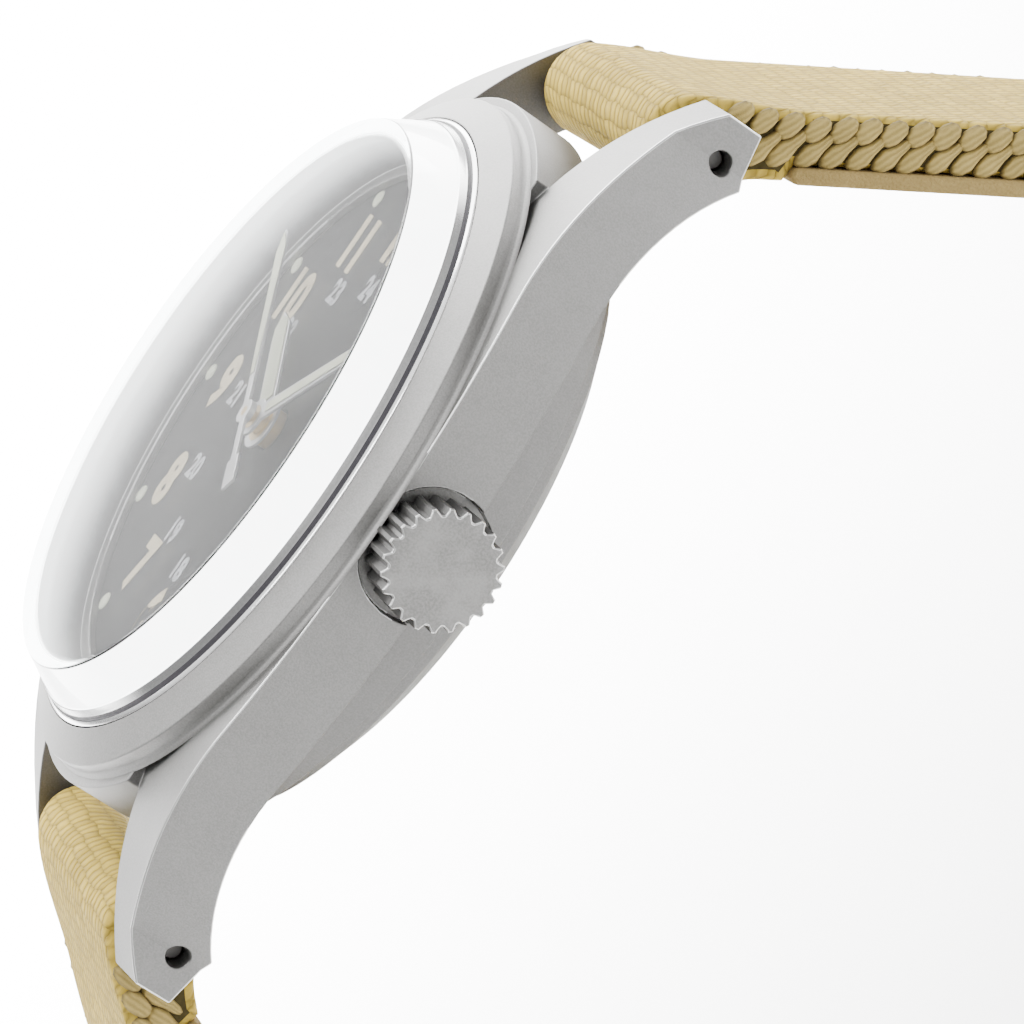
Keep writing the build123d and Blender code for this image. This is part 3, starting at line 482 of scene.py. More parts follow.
def lathed(name, profile, sides, ends="NOTHING"):
    """A turned piece: a circle extruded and resized from one (radius, height) to the next."""
    first = profile[0]
    bpy.ops.mesh.primitive_circle_add(
        vertices=sides, radius=first[0] * MM, location=(0, 0, first[1] * MM), fill_type=ends
    )
    piece = settled(started(name))
    opened()
    for (radius, height), (next_radius, next_height) in zip(profile, profile[1:]):
        rise = (0, 0, (next_height - height) * MM)
        bpy.ops.mesh.extrude_region_move(TRANSFORM_OT_translate={"value": rise})
        share = next_radius / radius
        bpy.ops.transform.resize(value=(share, share, 1), center_override=(0, 0, next_height * MM))
    return piece


def smoothed(piece, angle):
    """Shades the active piece smooth wherever its faces meet flatter than an angle."""
    bpy.ops.object.shade_smooth_by_angle(angle=radians(angle))
    return piece


def turned_ring(name, profile, angle):
    """A turned ring whose profile closes on itself."""
    return smoothed(closed_up(lathed(name, profile + [profile[0]], 256)), angle)


def picked(piece, wanted):
    """In edit mode, selects only the vertices that pass a test."""
    bpy.ops.mesh.select_all(action="DESELECT")
    drawn = bmesh.from_edit_mesh(piece.data)
    for vertex in drawn.verts:
        vertex.select = wanted(vertex)
    drawn.select_flush(True)
    bmesh.update_edit_mesh(piece.data)


def coin_edged(name, teeth, profile):
    """A toothed body from one (height, tip radius, root radius) to the next, closed at both ends."""
    sides = 4 * teeth
    bpy.ops.mesh.primitive_circle_add(
        vertices=sides, radius=profile[0][1] * MM, location=(0, 0, profile[0][0] * MM), fill_type="NGON"
    )
    piece = settled(started(name))
    opened()
    for (height, tip, root), (next_height, next_tip, next_root) in zip(profile, profile[1:]):
        rise = (0, 0, (next_height - height) * MM)
        bpy.ops.mesh.extrude_region_move(TRANSFORM_OT_translate={"value": rise})
        ring = {}
        for vertex in bmesh.from_edit_mesh(piece.data).verts:
            if vertex.select:
                ring[vertex.index] = round(atan2(vertex.co.y, vertex.co.x) * sides / (2 * pi)) % 4 < 2
        for on_tip, share in ((True, next_tip / tip), (False, next_root / root)):
            picked(piece, lambda vertex: ring.get(vertex.index) is on_tip)
            bpy.ops.transform.resize(value=(share, share, 1), center_override=(0, 0, next_height * MM))
        picked(piece, lambda vertex: vertex.index in ring)
    return smoothed(closed_up(piece), 24)


def cut_out(piece, cutter):
    """Takes the cutter's shape out of a piece."""
    hole = piece.modifiers.new("cut", "BOOLEAN")
    hole.operation, hole.solver, hole.object = "DIFFERENCE", "EXACT", cutter
    alone(piece)
    bpy.ops.object.modifier_apply(modifier=hole.name)
    bpy.data.objects.remove(cutter)


def joined_copies(name, placings):
    """One piece from copies of modelled pieces, each with its place in its own mesh."""
    bpy.ops.object.select_all(action="DESELECT")
    for pattern, placing in placings:
        mesh = pattern.data.copy()
        mesh.transform(placing)
        if placing.determinant() < 0:
            mesh.flip_normals()
        copy = bpy.data.objects.new(name, mesh)
        bpy.context.scene.collection.objects.link(copy)
        copy.select_set(True)
    bpy.context.view_layer.objects.active = copy
    bpy.ops.object.join()
    return started(name)


def closed_up(piece):
    """Merges what meets, turns the faces outwards and leaves edit mode."""
    bpy.ops.mesh.select_all(action="SELECT")
    bpy.ops.mesh.remove_doubles(threshold=1e-7)
    bpy.ops.mesh.normals_make_consistent(inside=False)
    bpy.ops.object.mode_set(mode="OBJECT")
    return piece


# Camera at the photograph's angle, 0.26 m from the watch, and a plain pale stage
camera_lift, camera_side, camera_roll = 0.331, 0.052, -0.9885
camera_distance, camera_rise = 0.26, 1.6 * MM
out = Vector((cos(camera_lift) * cos(camera_side), cos(camera_lift) * sin(camera_side), sin(camera_lift)))
level = Vector((0, 0, 1)).cross(out).normalized()
upright = out.cross(level)
right = cos(camera_roll) * level + sin(camera_roll) * upright
up = -sin(camera_roll) * level + cos(camera_roll) * upright
focal_pixels, centre_x, centre_y, picture = 5720.0, 385.2, 503.6, 1024.0
shift_x, shift_y = (picture / 2 - centre_x) / focal_pixels, (picture / 2 - centre_y) / focal_pixels
forward = (-out + right * shift_x - up * shift_y).normalized()
level_up = (up - forward * up.dot(forward)).normalized()
sideways = forward.cross(level_up)
lens = bpy.data.cameras.new("photo_camera")
lens.sensor_width = 36.0
lens.lens = focal_pixels / picture * lens.sensor_width
lens.clip_start, lens.clip_end = 0.02, 20.0
camera = bpy.data.objects.new("photo_camera", lens)
bpy.context.scene.collection.objects.link(camera)
turn = Matrix((sideways, level_up, -forward)).transposed().to_4x4()
camera.matrix_world = Matrix.Translation(out * camera_distance + Vector((0, 0, camera_rise))) @ turn
bpy.context.scene.camera = camera

floor_level = cad_box[0][2]
bpy.ops.mesh.primitive_plane_add(size=6.0, location=(0, 0, floor_level - 0.05 * MM))
floor = started("pale_floor")
paper = Finish("pale_paper", Roughness=0.9)
pale = paper.blend(paper.noise(40.0), (0.93, 0.93, 0.93), (0.95, 0.95, 0.95))
floor.data.materials.append(paper.use(Base_Color=pale))

# The room glows most behind the watch and low down there, and less towards 6 o'clock
tent = Surroundings("white_tent")
toward_front, toward_twelve, height = tent.direction()
behind = (-1.0 * toward_front).step(0.2, 0.8)
sky = 1.5 * height.step(0.30, 0.75)
backdrop = (1.3 * (1 - height.step(0.255, 0.325)) + 13.0 * (1 - height.step(0.17, 0.245))) * behind
toward_six = (-1.0 * toward_twelve).step(0.1, 0.9)
glow = (0.6 + 0.1 * behind + sky + backdrop) * (1 - 0.35 * toward_six)
bpy.context.scene.world = tent.use(Color=(1, 1, 1, 1), Strength=glow)


def soft_box(name, place, aim, width, height, power):
    """A large soft light that faces a point."""
    box = bpy.data.lights.new(name, "AREA")
    box.shape, box.size, box.size_y, box.energy = "RECTANGLE", width, height, power
    lamp = bpy.data.objects.new(name, box)
    bpy.context.scene.collection.objects.link(lamp)
    lamp.location = place
    lamp.rotation_mode = "QUATERNION"
    lamp.rotation_quaternion = (Vector(place) - Vector(aim)).to_track_quat("Z", "Y")
    lamp.visible_camera = False
    return lamp


soft_box("key_light", (-0.36, 0.23, 0.26), (0, 0, 0), 0.4, 0.4, 5.0)
floor_light = soft_box("floor_light", (-0.28, 0.0, 0.16), (-0.28, 0, -0.056), 0.35, 0.45, 9.0)
floor_light.data.spread = radians(100)
soft_box("top_strip", (0.13, -0.02, 0.375), (0, 0, 0), 0.4, 0.04, 1.2)

# The case: middle, bezel, back and crown
case_blast = blasted_steel("case_blasted_steel", steel_tone)
# A lighter copy of the case steel: painted light on the crown
crown_lit_blast = blasted_steel("crown_painted_light_steel", scaled(steel_tone, 1.12), 0.11, 0.008, 0.18)
# A darker copy of the case steel with dimmer edge reflections: painted shade for the band under the flank and
# for the back
lower_shaded_blast = blasted_steel("lower_painted_shade_steel", scaled(steel_tone, 0.9), Specular_Tint=(0.3, 0.3, 0.3, 1))
# A darker copy of the case steel: painted shade on the lugs' inner faces
inner_lug_shaded_blast = blasted_steel("inner_lug_painted_shade_steel", scaled(steel_tone, 0.62))
# A darker copy of the case steel: painted shade on the sides of the crown's teeth
crown_teeth_shaded_blast = blasted_steel("crown_side_painted_shade_steel", scaled(steel_tone, 0.5))
# Edges rubbed bright by wear, made brighter still as a painted highlight
wear_and_highlight_edge = polished_steel("wear_and_highlight_steel_edge", (0.72, 0.72, 0.71), 0.24)
bright_steel = polished_steel("turned_bright_steel", (0.42, 0.415, 0.40), 0.28)
# Dark steel for the bar tips: painted shade inside the lug holes
shaded_steel = polished_steel("bar_tip_steel", (0.16, 0.155, 0.15), 0.40)
middle = machined("mid_case", "case_middle", "case", case_blast, 0.08, 40.0, wear_and_highlight_edge)
dulled(middle, lambda place: place.z < 4.6 and abs(place.y) < 13 or abs(place.x) < 10.2 and place.z > 1)
dulled(middle, lambda place: hypot(abs(place.y) - hole_y, place.z - hole_z) < 0.9)
# Painted shade on the lugs' inner faces
given(
    middle,
    inner_lug_shaded_blast,
    lambda place, normal: abs(place.y) > 13.5 and abs(place.x) < 9.6 and abs(normal.z) < 0.5,
)
# Painted shade on the band under the flank
given(middle, lower_shaded_blast, lambda place, normal: place.z < 4.5 and abs(place.y) < 14)
machined("bezel", "bezel_ring", "case", case_blast, 0.07)
machined("case_back", "screwed_back", "case", lower_shaded_blast, 0.05)

# A soft roll of metal where the bezel's wall stands on the case
foot_profile = [
    (17.40, 7.30), (17.84, 7.30), (17.80, 7.40), (17.72, 7.46), (17.66, 7.54), (17.63, 7.66), (17.40, 7.66),
]
foot = turned_ring("bezel_foot_roll", foot_profile, 50)
finished(foot, "case", case_blast)

# The crown: 22 blunt teeth round a softened face, bored at the back for its tube
crown_line = [
    (18.95, 1.35, 1.35), (17.00, 1.35, 1.35), (17.00, 2.36, 2.36), (17.22, 2.40, 2.40), (17.24, 2.68, 2.41),
    (20.04, 2.70, 2.42), (20.12, 2.66, 2.40), (20.15, 2.58, 2.34), (20.15, 2.10, 2.10),
]
crown_teeth, crown_height, crown_front = 22, 4.7, 20.0
crown = coin_edged("crown_body", crown_teeth, crown_line)
crown.location, crown.rotation_euler = (0, 0, crown_height * MM), (0, pi / 2, 0)
# The crown's lighter steel is painted light
finished(settled(crown), "crown", crown_lit_blast, ("crown",))
crown.data.materials.append(wear_and_highlight_edge)
rounded_edges(crown, 0.017, 24.0, wear_and_highlight=True)
dulled(crown, lambda place: place.x < crown_front)
# Painted shade on the sides of the teeth
given(crown, crown_teeth_shaded_blast, lambda place, normal: place.x < crown_front and abs(normal.x) < 0.5)
for node in ("crown_tube", "spring_bar_12", "spring_bar_6"):
    machined(node, node + "_turned", "case", bright_steel, 0.04)
machined("stem", "stem_turned", "crown", bright_steel, 0.03)
# The bar tips take painted shade, as they sit deep in the lug holes
for clock in ("12", "6"):
    for hand in ("crown_side", "far_side"):
        node = f"bar_tip_{clock}_{hand}"
        machined(node, node + "_turned", node, shaded_steel, 0.06)

# The crystal: a leaning flank and a flat top with a softened arris; its thick edge is white, with a painted
# glow in place of the light in it
crystal_profile = [
    (0.3, 10.0), (13.70, 10.0), (13.85, 10.0), (13.95, 9.98), (14.02, 9.93), (14.05, 9.85),
    (14.05, 7.37), (15.50, 7.37), (15.52, 7.39), (15.52, 9.60), (15.50, 9.66),
    (14.54, 11.33), (14.51, 11.37), (14.47, 11.39), (14.42, 11.395), (14.30, 11.395), (0.3, 11.395),
]
crystal = smoothed(closed_up(lathed("crystal_glass", crystal_profile, 256, "NGON")), 32)
finished(crystal, "case", clear_crystal(), ("crystal",))
# The inner wall and foot: painted shade at the dial, fading to a painted glow at the top
given(crystal, fading_glass(), lambda place, normal: place.z < 9.85)
# The leaning flank: white with a painted glow
given(crystal, ground_glass(), lambda place, normal: hypot(place.x, place.y) > 14.6 and normal.z < 0.7)

# The seat between crystal and bezel: two polished rolls with a groove between them, painted dark as shade
seat_profile = [
    (15.55, 7.37), (15.55, 9.52), (15.57, 9.56), (15.62, 9.56), (15.71, 9.33), (15.73, 9.26),
    (15.74, 9.24), (15.77, 9.06), (15.80, 9.02),
    (15.84, 9.05), (15.89, 9.06), (16.01, 8.99), (16.04, 8.95), (16.05, 8.90), (16.05, 7.37),
]
seat = turned_ring("crystal_seat_ring", seat_profile, 25)
finished(seat, "case", polished_steel("seat_polished_steel", (0.80, 0.80, 0.80), 0.10))
# Painted shade in the groove between the two rolls
given(seat, soft_seal(), lambda place, normal: 15.735 < hypot(place.x, place.y) < 15.81 and place.z > 8.5)

# The dial: matt charcoal, hour numerals, 24-hour numerals and luminous dots
frame["nodes"]["dial"].data.materials.clear()
frame["nodes"]["dial"].data.materials.append(dial_paint())
dial_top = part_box("dial")[1].z
dial_cream = printed_paint("dial_cream_paint", (0.58, 0.50, 0.34), 0.20)
dial_white = printed_paint("dial_white_paint", (0.42, 0.43, 0.45), 0.15)
lume = printed_paint("pale_lume", (0.66, 0.68, 0.52), 0.12)


def on_dial(radius, hour):
    """A place on the dial's face, in metres, at a clock hour."""
    angle = radians(90 - 30 * hour)
    return Vector((radius * MM * cos(angle), radius * MM * sin(angle), dial_top))


def numeral(number, place, height, boldness, name, material):
    """A plain printed number, upright on the dial."""
    bpy.ops.object.text_add(location=(0, 0, 0))
    letters = bpy.context.object
    letters.data.body = str(number)
    letters.data.align_x, letters.data.align_y = "CENTER", "CENTER"
    letters.data.size = height * MM / 0.72
    letters.data.offset = height * MM * boldness
    letters.data.extrude = 0.02 * MM
    alone(letters)
    bpy.ops.object.convert(target="MESH")
    piece = started(name)
    piece.location, piece.scale = place, (0.88, 1, 1)
    finished(settled(piece), "case", material)


hour_radius, day_radius, dot_radius, dot_size = 10.25, 7.6, 12.97, 0.45
for hour in range(1, 13):
    late = hour + 12
    numeral(hour, on_dial(hour_radius, hour), 2.6, 0.075, f"hour_number_{hour}", dial_cream)
    numeral(late, on_dial(day_radius, hour), 1.2, 0.06, f"day_number_{late}", dial_white)
    bpy.ops.mesh.primitive_uv_sphere_add(
        segments=20, ring_count=10, radius=dot_size * MM, location=on_dial(dot_radius, hour)
    )
    dot = started(f"lume_dot_{hour}")
    dot.scale = (1, 1, 0.3)
    settled(dot)
    bpy.ops.object.shade_smooth()
    finished(dot, "case", lume)

# The hands: bright steel frames with luminous fillings
hand_steel = polished_steel("hand_bright_steel", (0.60, 0.60, 0.60), 0.35)
hour_turn, minute_turn, second_turn = 304.425, 53.1, 306.0


def filling(name, body, clock_angle, height, start, length, width, root, point):
    """A bar of luminous paint set along a hand, as wide as root where it starts and with a pointed end."""
    bpy.ops.mesh.primitive_plane_add(size=1.0, location=(0, 0, 0))
    bar = started(name)
    bar.scale = (width * MM, (length - start) * MM, 1)
    bar.location = (0, (start + length) / 2 * MM, height * MM)
    settled(bar)
    opened()
    bpy.ops.mesh.bisect(plane_co=(0, (length - point) * MM, 0), plane_no=(0, 1, 0))
    picked(bar, lambda vertex: vertex.co.y > (length - 0.1 * point) * MM)
    bpy.ops.transform.resize(value=(0.15, 1, 1))
    picked(bar, lambda vertex: vertex.co.y < (start + 0.1) * MM)
    bpy.ops.transform.resize(value=(root / width, 1, 1))
    bpy.ops.mesh.select_all(action="SELECT")
    bpy.ops.mesh.extrude_region_move(TRANSFORM_OT_translate={"value": (0, 0, 0.05 * MM)})
    closed_up(bar)
    bar.rotation_euler = (0, 0, -radians(clock_angle))
    settled(bar)
    rounded_edges(bar, 0.025)
    return finished(bar, body, lume)


def slimmed(hand, clock_angle, share):
    """Narrows a hand's blade beyond its boss."""
    hand.rotation_euler = (0, 0, radians(clock_angle))
    settled(hand)
    bpy.ops.object.mode_set(mode="EDIT")
    picked(hand, lambda vertex: vertex.co.y > 1.6 * MM)
    bpy.ops.transform.resize(value=(share, 1, 1), center_override=(0, 0, 0))
    bpy.ops.object.mode_set(mode="OBJECT")
    hand.rotation_euler = (0, 0, -radians(clock_angle))
    settled(hand)


for node, body, angle, height, start, length, width, root, point in (
    ("hour_hand", "hours", hour_turn, 7.61, 1.5, 7.6, 1.05, 1.05, 0.5),
    ("minute_hand", "minutes", minute_turn, 8.11, 1.2, 11.6, 0.54, 0.54, 0.4),
    ("seconds_hand", "seconds", second_turn, 8.61, 2.6, 12.7, 0.74, 0.32, 1.2),
):
    outline = machined(node, node + "_frame", body, hand_steel, 0.03)
    if node == "minute_hand":
        slimmed(outline, angle, 0.74)
    filling(node + "_lume", body, angle, height, start, length, width, root, point)


# The strap's path: the same bends as its solids, with s the length from the bar and n the height outside it
class Path:
    """A band's middle line in the plane of the dial axis."""

    def __init__(self, side, start, heading, pieces):
        self.side, self.pieces = side, []
        (y, z), s = start, 0.0
        for kind, size, bend in pieces:
            length = size if kind == "run" else radians(bend) * size
            self.pieces.append((s, s + length, (y, z), heading, kind, size))
            if kind == "run":
                y, z = y + size * cos(radians(heading)), z - size * sin(radians(heading))
            else:
                y -= size * (sin(radians(heading)) - sin(radians(heading + bend)))
                z -= size * (cos(radians(heading)) - cos(radians(heading + bend)))
                heading += bend
            s += length
        self.length = s

    def at(self, s, n):
        """The row-frame (y, z) of a place s along and n outside, in millimetres."""
        for low, high, (y, z), heading, kind, size in self.pieces:
            if s <= high or high == self.length:
                break
        ahead = s - low
        if kind == "run":
            y, z = y + ahead * cos(radians(heading)), z - ahead * sin(radians(heading))
        else:
            y -= size * (sin(radians(heading)) - sin(radians(heading) + ahead / size))
            z -= size * (cos(radians(heading)) - cos(radians(heading) + ahead / size))
            heading += degrees(ahead / size)
        return self.side * (y + n * sin(radians(heading))), z + n * cos(radians(heading))


strap_half, strap_out, web_in, lining_in = 8.8, 2.0, -0.4, -1.2
twelve_slope, six_slope, first_bend, wrist_bend = 60.0, 40.0, 45.0, 16.0
keeper_lift, twelve_flat, six_flat = 4.3, 8.0, 27.0
wrist_drop = wrist_bend * (1 + cos(radians(twelve_slope)))
first_drop = first_bend * (cos(radians(six_slope)) - cos(radians(twelve_slope)))
twelve_run = (hole_z - (floor_z + keeper_lift + strap_out) - wrist_drop) / sin(radians(twelve_slope))
six_run = (hole_z - (floor_z + strap_out) - first_drop - wrist_drop) / sin(radians(twelve_slope))
wrist, shoulder = ("bend", wrist_bend, 120.0), ("bend", first_bend, twelve_slope - six_slope)
twelve_pieces = [("run", twelve_run, 0), wrist, ("run", twelve_flat, 0)]
six_pieces = [shoulder, ("run", six_run, 0), wrist, ("run", six_flat, 0)]
twelve_path = Path(1, (hole_y, hole_z), twelve_slope, twelve_pieces)
six_path = Path(-1, (hole_y, hole_z), six_slope, six_pieces)


def eased(share):
    share = max(0.0, min(1.0, share))
    return share * share * (3 - 2 * share)


def arc_points(centre, radius, first, last, count):
    """(s, n) points round a fold, with angles from the strap's outward side."""
    points = []
    for index in range(count):
        angle = radians(first + (last - first) * index / (count - 1))
        points.append((centre[0] + radius * sin(angle), centre[1] + radius * cos(angle)))
    return points


def fold_outline(path, heading, end_fold):
    """Closed (s, n) outline of a webbing half: out along the top, round its end and back underneath."""
    step = 0.5
    roll = (-0.5 * sin(radians(heading)), 0.5 * cos(radians(heading)))
    radius = 2.2
    top, low = roll[1] + radius, roll[1] - radius
    outline, s = [], roll[0] + step
    stop = path.length - (2.0 if end_fold else 0.0)
    while s < stop:
        swell = eased(1 - (s - roll[0]) / 6.0)
        ending = eased((s - stop + 3.0) / 3.0) if end_fold else 0.0
        outline.append((s, strap_out + (top - strap_out) * swell - 0.4 * ending))
        s += step
    if end_fold:
        outline += arc_points((path.length, 0.0), 1.6, 0, 180, 12)
        s = path.length - step
    else:
        outline += [(path.length, strap_out - 0.25), (path.length, web_in + 0.25)]
        s = path.length - 0.3
    while s > roll[0] + step / 2:
        under = web_in
        if s < 4.4:
            under = lining_in + 0.05 + (low - lining_in) * eased(1 - (s - roll[0]) / 3.4)
        if end_fold and s > path.length - 3.0:
            under = lining_in - 0.4 * eased((s - path.length + 3.0) / 2.5)
        outline.append((s, under))
        s -= step
    outline += arc_points(roll, radius, 180, 360, 22)
    return outline


def banded(name, path, outline, half, round_off=0.55):
    """A strap-wide band: a grid laid round the closed outline, with round edges and closed sides."""
    turns = [radians(angle) for angle in (90, 60, 30, 0)]
    lanes = [(half - round_off * (1 - sin(turn)), round_off * (1 - cos(turn))) for turn in turns]
    flat_half = half - round_off
    lanes += [(flat_half * (1 - step / 12), 0.0) for step in range(1, 12)]
    lanes += [(0.0, 0.0)] + [(-x, inset) for x, inset in reversed(lanes)]
    count = len(outline)
    mesh = bpy.data.meshes.new(name)
    places = []
    walked = [0.0]
    for (s0, n0), (s1, n1) in zip(outline, outline[1:] + outline[:1]):
        walked.append(walked[-1] + hypot(s1 - s0, n1 - n0))
    for x, inset in lanes:
        for index, (s, n) in enumerate(outline):
            before, after = outline[index - 1], outline[(index + 1) % count]
            along = Vector((after[0] - before[0], after[1] - before[1])).normalized()
            s_in, n_in = s + inset * along.y, n - inset * along.x
            y, z = path.at(s_in, n_in)
            places.append((x * MM, y * MM, z * MM))
    faces = []
    for lane in range(len(lanes) - 1):
        for index in range(count):
            after = (index + 1) % count
            a, b = lane * count + index, lane * count + after
            faces.append((a, b, b + count, a + count))
    faces.append(tuple(range(count)))
    last = (len(lanes) - 1) * count
    faces.append(tuple(last + index for index in reversed(range(count))))
    mesh.from_pydata(places, [], faces)
    flat = mesh.uv_layers.new(name="flat")
    for polygon in mesh.polygons:
        for corner, vertex in zip(polygon.loop_indices, polygon.vertices):
            lane, index = divmod(vertex, count)
            s = walked[index]
            last_strip = any(other % count == count - 1 for other in polygon.vertices)
            if index == 0 and last_strip and len(polygon.vertices) == 4:
                s = walked[count]
            flat.data[corner].uv = (lanes[lane][0], s)
    piece = bpy.data.objects.new(name, mesh)
    bpy.context.scene.collection.objects.link(piece)
    alone(piece)
    opened()
    bpy.ops.mesh.normals_make_consistent(inside=False)
    bpy.ops.object.mode_set(mode="OBJECT")
    return smoothed(piece, 50)


tail_y, tail_z = six_path.at(six_path.length, 0.8)
khaki = woven_khaki()
edge_khaki = edge_yarn()
tan_lining = lining_cloth()
dark_core = shaded_khaki()


def on_path(path, s, n):
    """The place and turn of a thing on a band: x across, y along and z outward."""
    y, z = path.at(s, n)
    ahead_y, ahead_z = path.at(s + 0.2, n)
    out_y, out_z = path.at(s, n + 0.2)
    along = Vector((0, ahead_y - y, ahead_z - z)).normalized()
    outward = Vector((0, out_y - y, out_z - z)).normalized()
    turn = Matrix(((1, 0, 0), along, outward)).transposed().to_4x4()
    return Matrix.Translation(Vector((0, y, z)) * MM) @ turn


def yarn_bead(name, length, width, depth, taper, lean):
    """One plump strand of the edge yarn at the origin, with flat coordinates from -1 to 1."""
    bpy.ops.mesh.primitive_cube_add(size=1.0, location=(0, 0, 0), calc_uvs=False)
    bead = started(name)
    opened()
    bpy.ops.mesh.subdivide(number_cuts=2, smoothness=0.85)
    bpy.ops.object.mode_set(mode="OBJECT")
    bpy.context.view_layer.update()
    bead.dimensions = (depth * MM, length * MM, width * MM)
    settled(bead)
    flat = bead.data.uv_layers.new(name="flat")
    for corner in bead.data.loops:
        place = bead.data.vertices[corner.vertex_index].co
        flat.data[corner.index].uv = (2 * place.z / (width * MM), 2 * place.y / (length * MM))
    bpy.ops.object.mode_set(mode="EDIT")
    picked(bead, lambda vertex: vertex.co.y > 0.1 * length * MM)
    bpy.ops.transform.resize(value=(1, 1, taper), center_override=(0, 0, 0))
    bpy.ops.object.mode_set(mode="OBJECT")
    bead.rotation_euler = (radians(lean), 0, 0)
    return settled(bead)


def plaited_edge(name, path, start, stop, body):
    """Both plaited edges of a strap half: a pad over a slanting strand, again and again along the path."""
    pad = yarn_bead("edge_pad", 1.50, 0.96, 0.90, 0.92, 38.0 * path.side)
    strand = yarn_bead("edge_strand", 2.30, 0.98, 0.90, 0.62, 42.0 * path.side)
    placings = []
    for turn in range(int((stop - start) / plait_pitch)):
        for side in (1, -1):
            for bead, x, n, lift in ((pad, 8.33, 1.32, 0.55), (strand, 8.26, 0.40, 0.05)):
                s = start + turn * plait_pitch + yarn_dice.uniform(-0.05, 0.05)
                n += lift * eased(1 - s / 5.0)
                sway = Matrix.Translation(Vector((x, 0, yarn_dice.uniform(-0.03, 0.03))) * MM)
                growth = Matrix.Scale(yarn_dice.uniform(0.95, 1.04), 4)
                mirrored = Matrix.Scale(side, 4, (1, 0, 0))
                placings.append((bead, on_path(path, s, n) @ mirrored @ sway @ growth))
    edge = joined_copies(name, placings)
    for bead in (pad, strand):
        bpy.data.objects.remove(bead)
    bpy.ops.object.shade_smooth()
    return finished(edge, body, edge_khaki)


def dark_sided(piece):
    """Gives the webbing's side faces, behind the plaited edge, the shaded core."""

    def covered(place, normal):
        by_lug = hypot(abs(place.y) - hole_y, place.z - hole_z) < 5.5
        by_tail = abs(place.y - tail_y) < 6.0 and place.z < floor_z + 3
        return abs(normal.x) > 0.8 and abs(place.x) > strap_half - 1.0 and not (by_lug or by_tail)

    given(piece, dark_core, covered)


def keeper_loop(name, node, body, s):
    """A loop of the same webbing round the strap, with room for the tail on its outside."""
    half, low, high, width, wall = 10.0, -2.3, 6.3, 4.5, 1.0
    bpy.ops.mesh.primitive_cube_add(size=1.0, location=(0, 0, (low + high) / 2 * MM), calc_uvs=False)
    loop = started(name)
    loop.scale = (2 * half * MM, width * MM, (high - low) * MM)
    settled(loop)
    bpy.ops.object.mode_set(mode="EDIT")
    bpy.ops.mesh.select_all(action="DESELECT")
    drawn = bmesh.from_edit_mesh(loop.data)
    for face in drawn.faces:
        face.select = abs(face.normal.y) > 0.9
    bmesh.update_edit_mesh(loop.data)
    bpy.ops.mesh.delete(type="ONLY_FACE")
    drawn = bmesh.from_edit_mesh(loop.data)
    for edge in drawn.edges:
        edge.select = abs(edge.verts[0].co.y - edge.verts[1].co.y) > 0.5 * width * MM
    bmesh.update_edit_mesh(loop.data)
    bpy.ops.mesh.bevel(offset=1.3 * MM, segments=5, affect="EDGES")
    bpy.ops.object.mode_set(mode="OBJECT")
    cloth = loop.modifiers.new("cloth", "SOLIDIFY")
    cloth.thickness, cloth.offset = wall * MM, -1.0
    bpy.ops.object.modifier_apply(modifier=cloth.name)
    rounded_edges(loop, 0.3, 40.0, 3)
    flat = loop.data.uv_layers.new(name="flat")
    for face in loop.data.polygons:
        for corner in face.loop_indices:
            place = loop.data.vertices[loop.data.loops[corner].vertex_index].co / MM
            along = place.x if abs(face.normal.z) > abs(face.normal.x) else place.z
            flat.data[corner].uv = (place.y, along)
    smoothed(loop, 45)
    loop.data.transform(on_path(twelve_path, s, 0.0))
    return finished(loop, body, khaki, (node,))


web_half, lining_half, lining_start = strap_half - 0.45, strap_half - 0.05, 4.6
twelve_fold = fold_outline(twelve_path, twelve_slope, True)
twelve_web = banded("twelve_strap_webbing", twelve_path, twelve_fold, web_half)
finished(twelve_web, "strap_12", khaki, ("strap_12_webbing",))
bpy.ops.mesh.primitive_cube_add(size=1.0, location=(0, 14.875 * MM, -49.7 * MM))
slot_cutter = started("tongue_slot")
slot_cutter.scale = (2.4 * MM, 3.3 * MM, 9.0 * MM)
cut_out(twelve_web, settled(slot_cutter))
dark_sided(twelve_web)
six_fold = fold_outline(six_path, six_slope, False)
six_web = banded("six_strap_webbing", six_path, six_fold, web_half)
finished(six_web, "strap_6", khaki, ("strap_6_webbing",))

# The six half's tail: a blunt point and five punched holes
point_half, point_across, point_back, trimmer_size = 0.9, 7.9, 5.0, 8.0
for side in (1, -1):
    bpy.ops.mesh.primitive_cube_add(size=1.0, location=(0, 0, 0))
    trimmer = started("tail_trimmer")
    normal = Vector((side * point_back, point_across, 0)).normalized()
    slope_middle = Vector((side * (point_half + point_across / 2), tail_y - point_back / 2, tail_z))
    trimmer.scale = (2 * trimmer_size * MM, trimmer_size * MM, trimmer_size * MM)
    trimmer.rotation_euler = (0, 0, atan2(normal.y, normal.x) - pi / 2)
    trimmer.location = (slope_middle + normal * trimmer_size / 2) * MM
    cut_out(six_web, settled(trimmer))
first_punch, punch_step = 6.5, 4.4
for index in range(5):
    place = (0, (tail_y - first_punch - punch_step * index) * MM, tail_z * MM)
    bpy.ops.mesh.primitive_cylinder_add(vertices=32, radius=0.9 * MM, depth=6 * MM, location=place)
    cut_out(six_web, settled(started("tail_punch")))
dark_sided(six_web)
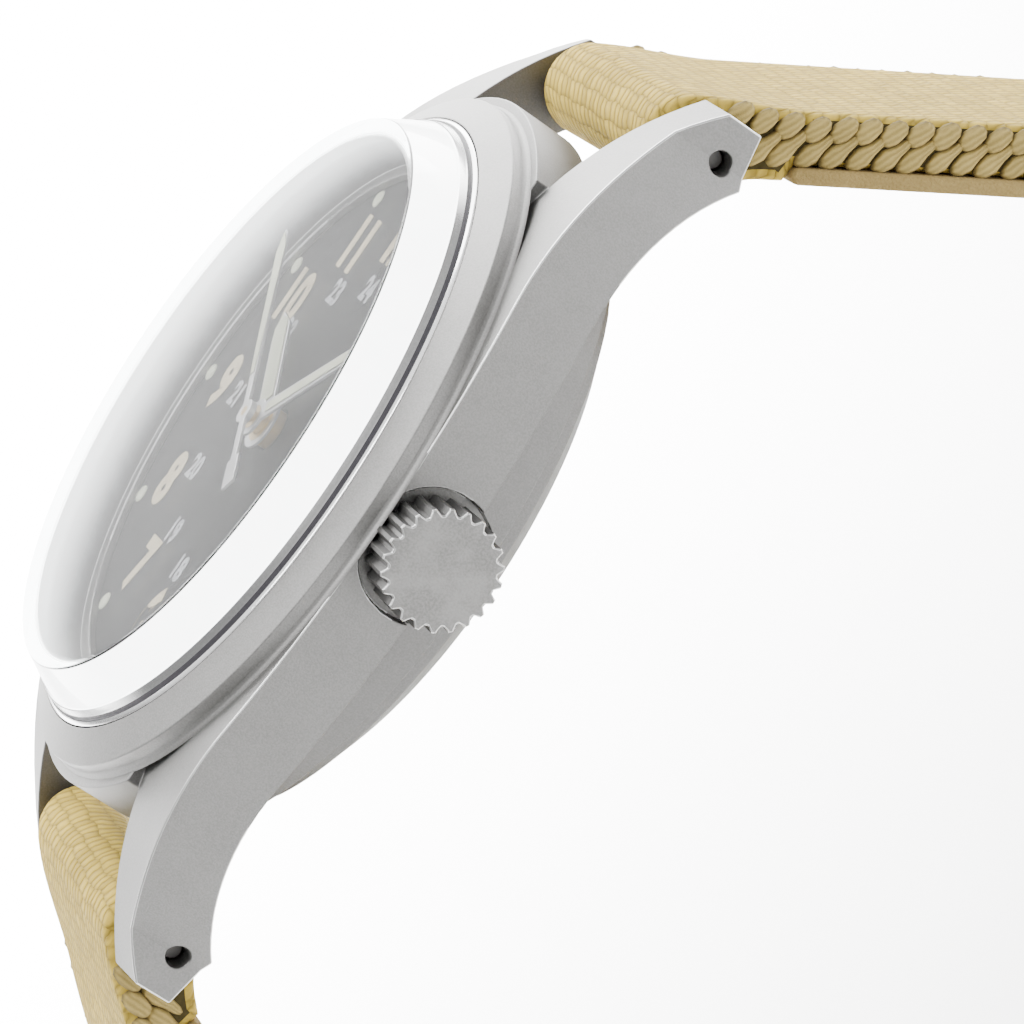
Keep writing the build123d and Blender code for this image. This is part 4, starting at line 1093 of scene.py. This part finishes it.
plaited_edge("twelve_plaited_edge", twelve_path, 1.6, twelve_path.length - 1.2, "strap_12")
plaited_edge("six_plaited_edge", six_path, 1.6, six_path.length - 5.5, "strap_6")
keeper_loop("free_keeper_loop", "free_keeper", "free_keeper", twelve_run - 3.75)
keeper_loop("fixed_keeper_loop", "fixed_keeper", "strap_12", twelve_path.length - 3.8)


def lining_outline(start, stop):
    """Closed (s, n) outline of a lining with round ends."""
    top = web_in - 0.03
    middle, radius = (top + lining_in) / 2, (top - lining_in) / 2
    outline, s = [], start + 0.5
    while s < stop - 0.3:
        outline.append((s, middle + radius))
        s += 0.5
    outline += arc_points((stop, middle), radius, 0, 180, 7)
    s = stop - 0.5
    while s > start + 0.3:
        outline.append((s, middle - radius))
        s -= 0.5
    return outline + arc_points((start, middle), radius, 180, 360, 7)


twelve_outline = lining_outline(lining_start, twelve_path.length - 3.2)
twelve_lining = banded("twelve_strap_lining", twelve_path, twelve_outline, lining_half, 0.2)
finished(twelve_lining, "strap_12", tan_lining, ("strap_12_lining",))
six_outline = lining_outline(lining_start, six_path.length - six_flat + 1.5)
six_lining = banded("six_strap_lining", six_path, six_outline, lining_half, 0.2)
finished(six_lining, "strap_6", tan_lining, ("strap_6_lining",))

# Buckle: frame, bar and tongue
machined("buckle_frame", "buckle_frame_cast", "buckle", case_blast, 0.3)
machined("buckle_bar", "buckle_bar_turned", "buckle", bright_steel, 0.08)
machined("buckle_tongue", "buckle_tongue_bent", "buckle_tongue", bright_steel, 0.15)

# The closed movement, plain but finished
plate_grain = brushed_metal("movement_plate_grain", (0.58, 0.57, 0.55), 0.3)
brass_grain = brushed_metal("movement_brass_grain", (0.62, 0.47, 0.22), 0.3)
steel_grain = polished_steel("movement_steel_grain", (0.56, 0.56, 0.56), 0.3)
grains = {"movement_plate": plate_grain, "movement_brass": brass_grain}
for row in frame["record"]["subparts"]:
    made = frame["nodes"][row["node"]]
    if not made.hide_render and row["node"] != "dial":
        made.data.materials.clear()
        made.data.materials.append(grains.get(row["material_slot"], steel_grain))
